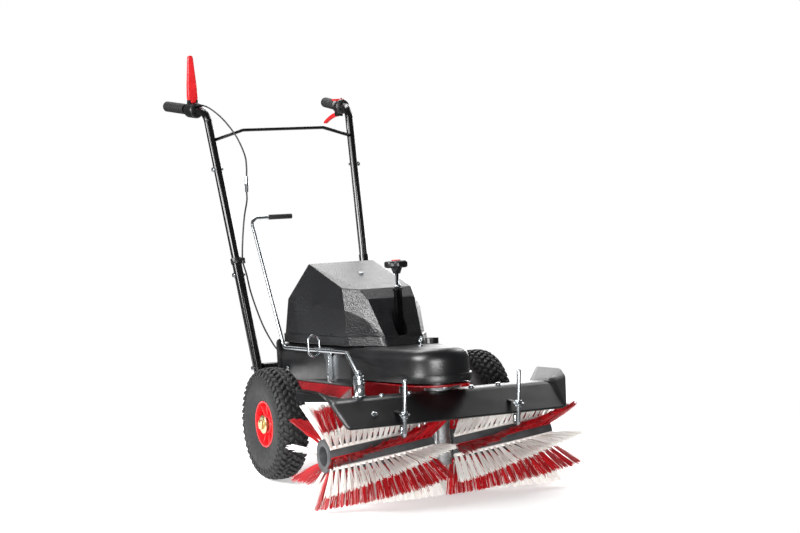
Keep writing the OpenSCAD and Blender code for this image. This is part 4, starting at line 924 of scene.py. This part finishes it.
def build_guard():
    """The sheet, folded from one skin, with two tabs for the hook rods."""
    points = GUARD_EDGE + [(-x, y, z) for x, y, z in GUARD_EDGE]
    guard = outline("guard_sheet", points, (), GUARD_SKIN)
    all_in_edit(guard)
    bpy.ops.mesh.normals_make_consistent(inside=False)
    pick(guard, edges=lambda a, b: max(abs(a.z - GUARD_LIP), abs(b.z - GUARD_LIP)) < NEAR)
    bpy.ops.mesh.extrude_region_move(TRANSFORM_OT_translate={"value": LIP_FOLD})
    pick(guard, edges=lambda a, b: a.x * b.x > 0 and abs(a.y + b.y - sum(GUARD_REAR)) < NEAR)
    bpy.ops.mesh.extrude_region_move(TRANSFORM_OT_translate={"value": REAR_FOLD})
    bpy.ops.object.mode_set(mode="OBJECT")
    for point in guard.data.vertices:
        if abs(point.co.y - GUARD_REAR[1] - REAR_FOLD[1]) < NEAR:
            point.co.z -= CORNER_DROP
    all_in_edit(guard)
    bpy.ops.mesh.normals_make_consistent(inside=False)
    bpy.ops.mesh.select_all(action="DESELECT")
    bpy.ops.mesh.edges_select_sharp(sharpness=math.radians(8))
    bpy.ops.mesh.bevel(offset=GUARD_FOLD, segments=7, affect="EDGES", clamp_overlap=True)
    alone(guard)
    sheet = guard.modifiers.new("sheet", "SOLIDIFY")
    sheet.thickness = GUARD_SHEET
    sheet.offset = -1
    bpy.ops.object.modifier_apply(modifier="sheet")
    tabs = []
    for side in (-1, 1):
        tab = plate("tab", [(-0.006, -0.0015), (0.006, -0.0015), (0.006, 0.0015), (-0.006, 0.0015)], 0.052)
        tabs.append(placed(tab, Matrix.Translation((side * HOOK_X, -0.4710, 0.2567))))
    guard = weld("guard_sheet", [guard] + tabs)
    round_edges(guard, 0.0009, angle=50)
    placed(guard, MACHINE)
    clean(guard, angle=35)
    flattened(guard)
    settle(guard, "guard")


# Star knob on the height spindle
KNOB_SPOT = (0, -0.155, 0.315)
KNOB_R = 0.0325
KNOB_LOBES = 7
LOBE_DEPTH = 0.05


def build_knob():
    """A lobed head on a tapered neck."""
    knob = fresh("star_knob", "cylinder", vertices=84, radius=KNOB_R, depth=0.019, location=(0, 0, 0.0105))
    for point in knob.data.vertices:
        turn = math.atan2(point.co.y, point.co.x)
        wave = 1 - LOBE_DEPTH + LOBE_DEPTH * math.cos(KNOB_LOBES * turn)
        point.co.x *= wave
        point.co.y *= wave
    pick(knob, faces=lambda c, n: abs(n.z) > 0.9)
    bpy.ops.mesh.bevel(offset=0.0058, segments=5, affect="EDGES")
    bpy.ops.object.mode_set(mode="OBJECT")
    neck = fresh("neck", "cone", vertices=48, radius1=0.0095, radius2=0.0180, depth=0.024,
                 location=(0, 0, -0.003))
    round_edges(neck, 0.0012)
    piece = weld("star_knob", [knob, neck])
    placed(piece, DECK @ Matrix.Translation(KNOB_SPOT))
    clean(piece)
    settle(piece, "height_knob")


# Levers on the handle: a broad paddle for the clutch and a curved finger lever, on rounded clamps
GRIP_LINE = Vector((0.034, 0.247, 0.005)).normalized()
GRIP_SPOT = (0.2447, 0.790, 0.95672)
GRIP_BORE = 0.0124
HOUSING_BACK = 0.006
PADDLE_TIP = 0.0088
PADDLE_TAPER = 0.4
PADDLE_LEAN = 0.045
FINGER_RUN = 0.094
FINGER_DROP = 0.030
FINGER_STEPS = 12
FINGER_BEND = 1.6
FINGER_HALF = 0.0068
FINGER_THIN = 0.0024
FINGER_TIP = (0.0985, -0.0315)
FINGER_ROOT = 0.62
FINGER_FLARE = 0.03


def housing(side, radius, half):
    """The rounded body of a lever clamp on one grip tube."""
    end = [(0, GRIP_BORE), (0, radius - 0.004), (0.0012, radius - 0.0014), (0.004, radius)]
    profile = [(x - half, r) for x, r in end] + [(half - x, r) for x, r in reversed(end)]
    body = spun("housing", profile, 48)
    run = Vector((side * GRIP_LINE.x, GRIP_LINE.y, GRIP_LINE.z))
    spot = MACHINE @ Vector((side * GRIP_SPOT[0], *GRIP_SPOT[1:])) - HOUSING_BACK * run
    return placed(body, Matrix.Translation(spot) @ run.to_track_quat("X", "Z").to_matrix().to_4x4())


def build_clutch():
    """The upright paddle on its foot, and the left clamp."""
    low, high = span("clutch_lever")
    pivot = Vector(((low.x + high.x) / 2, (low.y + high.y) / 2, low.z + 0.009))
    tall = high.z - pivot.z
    edge = [(0.0120, 0), (0.0150, 0.005), (0.0160, 0.012), (0.0150, 0.045)]
    for k in range(7):
        turn = k * math.pi / 12
        edge.append((PADDLE_TIP * math.cos(turn), tall - PADDLE_TIP + PADDLE_TIP * math.sin(turn)))
    paddle = plate("clutch_paddle", edge + [(-x, z) for x, z in reversed(edge[:-1])], 0.016)
    for point in paddle.data.vertices:
        point.co.y *= 1 - PADDLE_TAPER * point.co.z / tall
        point.co.x -= PADDLE_LEAN * point.co.z
    round_edges(paddle, 0.0036, segments=4, angle=30)
    foot = fresh("foot", "cylinder", vertices=40, radius=0.0088, depth=0.0174, rotation=(0, math.pi / 2, 0))
    round_edges(foot, 0.0016)
    lever = weld("clutch_paddle", [paddle, foot])
    placed(lever, Matrix.Translation(pivot))
    clean(lever)
    settle(lever, "clutch_lever")
    added(softened("clutch_bracket", 0.0014), housing(-1, 0.0232, 0.024))


def build_trigger():
    """The curved finger lever, narrow at its pivot, and the right clamp."""
    low, high = span("trigger_lever")
    pivot = Vector(((low.x + high.x) / 2, low.y + 0.007, high.z - 0.007))
    upper, lower = [], []
    for k in range(FINGER_STEPS + 1):
        share = k / FINGER_STEPS
        y, z = FINGER_RUN * share, -FINGER_DROP * share ** FINGER_BEND
        wide = FINGER_HALF - FINGER_THIN * share
        upper.append((y, z + wide))
        lower.append((y, z - wide))
    finger = plate("trigger_finger", upper + [FINGER_TIP] + lower[::-1], 0.013)
    for point in finger.data.vertices:
        point.co.y *= FINGER_ROOT + (1 - FINGER_ROOT) * min(point.co.x / FINGER_FLARE, 1)
    round_edges(finger, 0.0026, segments=3, angle=30)
    placed(finger, Matrix.Translation(pivot) @ Matrix.Rotation(math.pi / 2, 4, "Z"))
    clean(finger)
    settle(finger, "trigger_lever")
    added(softened("trigger_bracket", 0.0014), housing(1, 0.0225, 0.023))


# Fittings on the guard: the bushing of the steering rod, and the nuts and washers of the hook rods
def build_fittings():
    """The turned bushing, and two nuts and a washer on each hook rod."""
    bushing = spun("bushing", [
        (0.0061, -0.0020), (0.0172, -0.0020), (0.0176, 0.0004), (0.0172, 0.0012), (0.0150, 0.0016),
        (0.0142, 0.0026), (0.0142, 0.0290), (0.0148, 0.0298), (0.0160, 0.0302), (0.0160, 0.0330),
        (0.0150, 0.0338), (0.0150, 0.0415), (0.0140, 0.0424), (0.0061, 0.0424),
    ], 48, (0, 0, 1))
    placed(bushing, DECK @ Matrix.Translation((ROD_EYE[0], ROD_EYE[1], 0)))
    added(softened("guard_bolts", 0.0008), bushing)
    parts = []
    for side in (-1, 1):
        spot = MACHINE @ Vector((side * HOOK_X, HOOK_Y, 0))
        washer = spun("washer", [
            (0.0058, 0.2552), (0.0140, 0.2552), (0.0148, 0.2558), (0.0148, 0.2574), (0.0140, 0.2582),
            (0.0058, 0.2582),
        ], 40, (0, 0, 1))
        parts.append(placed(washer, Matrix.Translation(spot)))
        for low in (0.2482, 0.2584):
            nut = fresh("nut", "cylinder", vertices=6, radius=0.0102, depth=0.0066,
                        location=(0, 0, low + 0.0033))
            round_edges(nut, 0.0010)
            parts.append(placed(nut, Matrix.Translation(spot) @ Matrix.Rotation(0.4, 4, "Z")))
    nuts = weld("hook_nuts", parts)
    clean(nuts)
    settle(nuts, "hook_plates")


# Plated rods: round bar bent cold, with domed ends
DOME = [(0, 0.5), (0.25, 0.82), (0.7, 1)]
BEND_STEPS = 10


def rod(name, corners, thick, bend):
    """A round bar along straight runs that are joined by bends."""
    spots = [Vector(corner) for corner in corners]
    line = [spots[0]]
    for a, b, c in zip(spots, spots[1:], spots[2:]):
        into, away = (b - a).normalized(), (c - b).normalized()
        turn = into.angle(away)
        centre = b + (away - into).normalized() * (bend / math.cos(turn / 2))
        start = b - into * (bend * math.tan(turn / 2)) - centre
        axis = into.cross(away)
        for k in range(BEND_STEPS + 1):
            line.append(centre + Matrix.Rotation(turn * k / BEND_STEPS, 3, axis) @ start)
    line.append(spots[-1])
    head, tail = (line[1] - line[0]).normalized(), (line[-2] - line[-1]).normalized()
    path = [(line[0] + head * thick * far, size) for far, size in DOME]
    path += [(spot, 1) for spot in line[1:-1]]
    path += [(line[-1] + tail * thick * far, size) for far, size in reversed(DOME)]
    piece = round_curve(name, path, thick, 6)
    alone(piece)
    bpy.ops.object.convert(target="MESH")
    clean(piece)
    return piece


def build_rods():
    """The steering rod with its eye, and both hook rods."""
    eye, knee = Vector(ROD_EYE), Vector((-0.150, -0.129, 0.097))
    bar = rod("steering_bar", [eye + (knee - eye).normalized() * 0.012, knee, (-0.150, 0.304, 0.097),
                               (-0.150, 0.506, 0.475), (-0.022, 0.506, 0.475)], 0.005, 0.024)
    ring = spun("ring", [
        (0.0066, -0.0040), (0.0132, -0.0040), (0.0140, -0.0032), (0.0140, 0.0032), (0.0132, 0.0040),
        (0.0066, 0.0040),
    ], 40, (0, 0, 1))
    placed(ring, Matrix.Translation(eye))
    bar = weld("steering_bar", [bar, ring])
    placed(bar, DECK)
    settle(bar, "swivel_rod")
    for side, half in SIDES:
        x = side * HOOK_X
        hook = rod("hook_bar_" + half, [(x, HOOK_Y, 0.347), (x, HOOK_Y, 0.2012), (x, -0.4797, 0.2012),
                                        (x, -0.4797, 0.226)], 0.0054, 0.0087)
        placed(hook, MACHINE)
        settle(hook, "hook_rod_" + half)


# Guide bracket: an angle with a broad upper web, bolted to the cover's side
def build_bracket():
    """The web and the flange, added to the CAD shape of the bracket."""
    web = plate("web", [
        (0.016, 0.101), (0.150, 0.101), (0.150, 0.088), (0.090, 0.086), (0.070, 0.060), (0.066, 0.006),
        (0.034, 0.006), (0.034, 0.080),
    ], 0.0032)
    placed(web, Matrix.Translation((-0.1228, 0, 0)) @ Matrix.Rotation(math.pi / 2, 4, "Z"))
    flange = plate("flange", [
        (-0.1340, 0.012), (-0.1240, 0.006), (-0.1240, 0.098), (-0.1340, 0.090),
    ], 0.0030)
    placed(flange, Matrix.Translation((0, 0.0345, 0)))
    parts = [web, flange]
    for part in parts:
        round_edges(part, 0.0009)
        placed(part, DECK)
        clean(part)
    added(softened("rod_bracket", 0.0008), *parts)


# Deck: its front edge is folded down behind the brush
def build_deck():
    """The fold, added to the CAD shape of the deck."""
    fold = plate("fold", [
        (-0.125, -0.001), (0.125, -0.001), (0.125, -0.022), (0.117, -0.030), (-0.117, -0.030),
        (-0.125, -0.022),
    ], 0.003)
    round_edges(fold, 0.0008)
    placed(fold, DECK @ Matrix.Translation((0, -0.0905, 0)))
    added(softened("chassis_frame", 0.0008), fold)


# Studio: a pale floor that fades out, a white backdrop and soft lamps (place, width, height and watts)
AIM = Vector((0, -0.2, 0.35))
LAMPS = [
    ("behind", (1.4, 3.0, 1.7), 3.0, 1.7, 46), ("top_back", (0.2, 1.7, 2.8), 2.0, 1.0, 62),
    ("left_top", (-2.3, -0.5, 2.2), 1.0, 0.9, 20), ("left_side", (-3.1, -0.1, 1.65), 1.9, 1.0, 150),
    ("right_top", (2.5, 1.0, 2.3), 1.0, 1.3, 34), ("low_front", (-1.9, -4.0, 0.7), 2.2, 0.9, 155),
    ("right_back", (2.6, 2.8, 0.55), 1.6, 0.9, 32),
]


def build_floor():
    """A matt plane that lights itself a little and turns clear away from the machine."""
    nothing_selected()
    bpy.ops.mesh.primitive_plane_add(size=12, location=(0, 0, 0))
    floor = bpy.context.object
    floor.name = "floor"
    material, tree, shader, place = new_material("pale_floor", Roughness=0.8)
    shader.inputs["Base Color"].default_value = linear("#FCFCFC")
    shader.inputs["Emission Color"].default_value = (1, 1, 1, 1)
    shader.inputs["Emission Strength"].default_value = 0.34
    far = add_node(tree, "ShaderNodeVectorMath", {0: place}, operation="LENGTH")
    fade = add_node(tree, "ShaderNodeMapRange",
                    {"Value": far.outputs["Value"], "From Min": 0.6, "From Max": 1.5,
                     "To Min": 1.0, "To Max": 0.0},
                    interpolation_type="SMOOTHSTEP")
    tree.links.new(fade.outputs["Result"], shader.inputs["Alpha"])
    floor.data.materials.append(material)


def build_backdrop():
    """White to the camera and dimmer to the object, so that its dark finishes keep their depth."""
    world = bpy.data.worlds.new("studio")
    scene.world = world
    world.use_nodes = True
    tree = world.node_tree
    ray = add_node(tree, "ShaderNodeLightPath")
    strength = add_node(tree, "ShaderNodeMapRange",
                        {"Value": ray.outputs["Is Camera Ray"], "To Min": 0.14, "To Max": 1.0})
    backdrop = tree.nodes["Background"]
    backdrop.inputs["Color"].default_value = (1, 1, 1, 1)
    tree.links.new(strength.outputs["Result"], backdrop.inputs["Strength"])


def build_lamps():
    """Area lamps, turned to the machine and hidden from the camera."""
    for name, spot, wide, high, power in LAMPS:
        lamp = bpy.data.objects.new(name, bpy.data.lights.new(name, "AREA"))
        scene.collection.objects.link(lamp)
        lamp.data.shape = "RECTANGLE"
        lamp.data.size = wide
        lamp.data.size_y = high
        lamp.data.energy = power
        lamp.location = spot
        lamp.rotation_euler = (AIM - Vector(spot)).to_track_quat("-Z", "Y").to_euler()
        lamp.visible_camera = False


# Pieces that keep their CAD shape: edges to round, by their width in metres, and round bars and tubes
SOFT_EDGES = [
    ("thumb_lever", 0.0018), ("knob_cap", 0.001), ("handle_bolts", 0.0008), ("cover_bolts", 0.0006),
    ("rear_bracket", 0.001), ("guard_bar", 0.0008), ("gearbox", 0.0015), ("grip_left", 0.0012),
    ("grip_right", 0.0012), ("base_cover", 0.0015), ("eye_bolt", 0.0005), ("brush_core_left", 0.0012),
    ("brush_core_right", 0.0012), ("cable_clip", 0.0008), ("cable_adjuster", 0.0006), ("swivel_grip", 0.0045),
]
ROUND_BARS = [
    "upper_tube_left", "upper_tube_right", "crossbar", "lower_tube_left", "lower_tube_right", "spindle_tube",
    "height_spindle", "handle_crossmember",
]

build_cable()
build_floor()
build_backdrop()
build_lamps()
build_bristles()
for wheel_side, wheel_half in SIDES:
    build_tyre(wheel_side, wheel_half)
    build_rim(wheel_side, wheel_half)
    build_hub(wheel_side, wheel_half)
build_hood()
build_guard()
build_knob()
build_clutch()
build_trigger()
build_fittings()
build_bracket()
build_rods()
build_deck()
for name, width in SOFT_EDGES:
    softened(name, width)
for name in ROUND_BARS:
    smoothed(name)
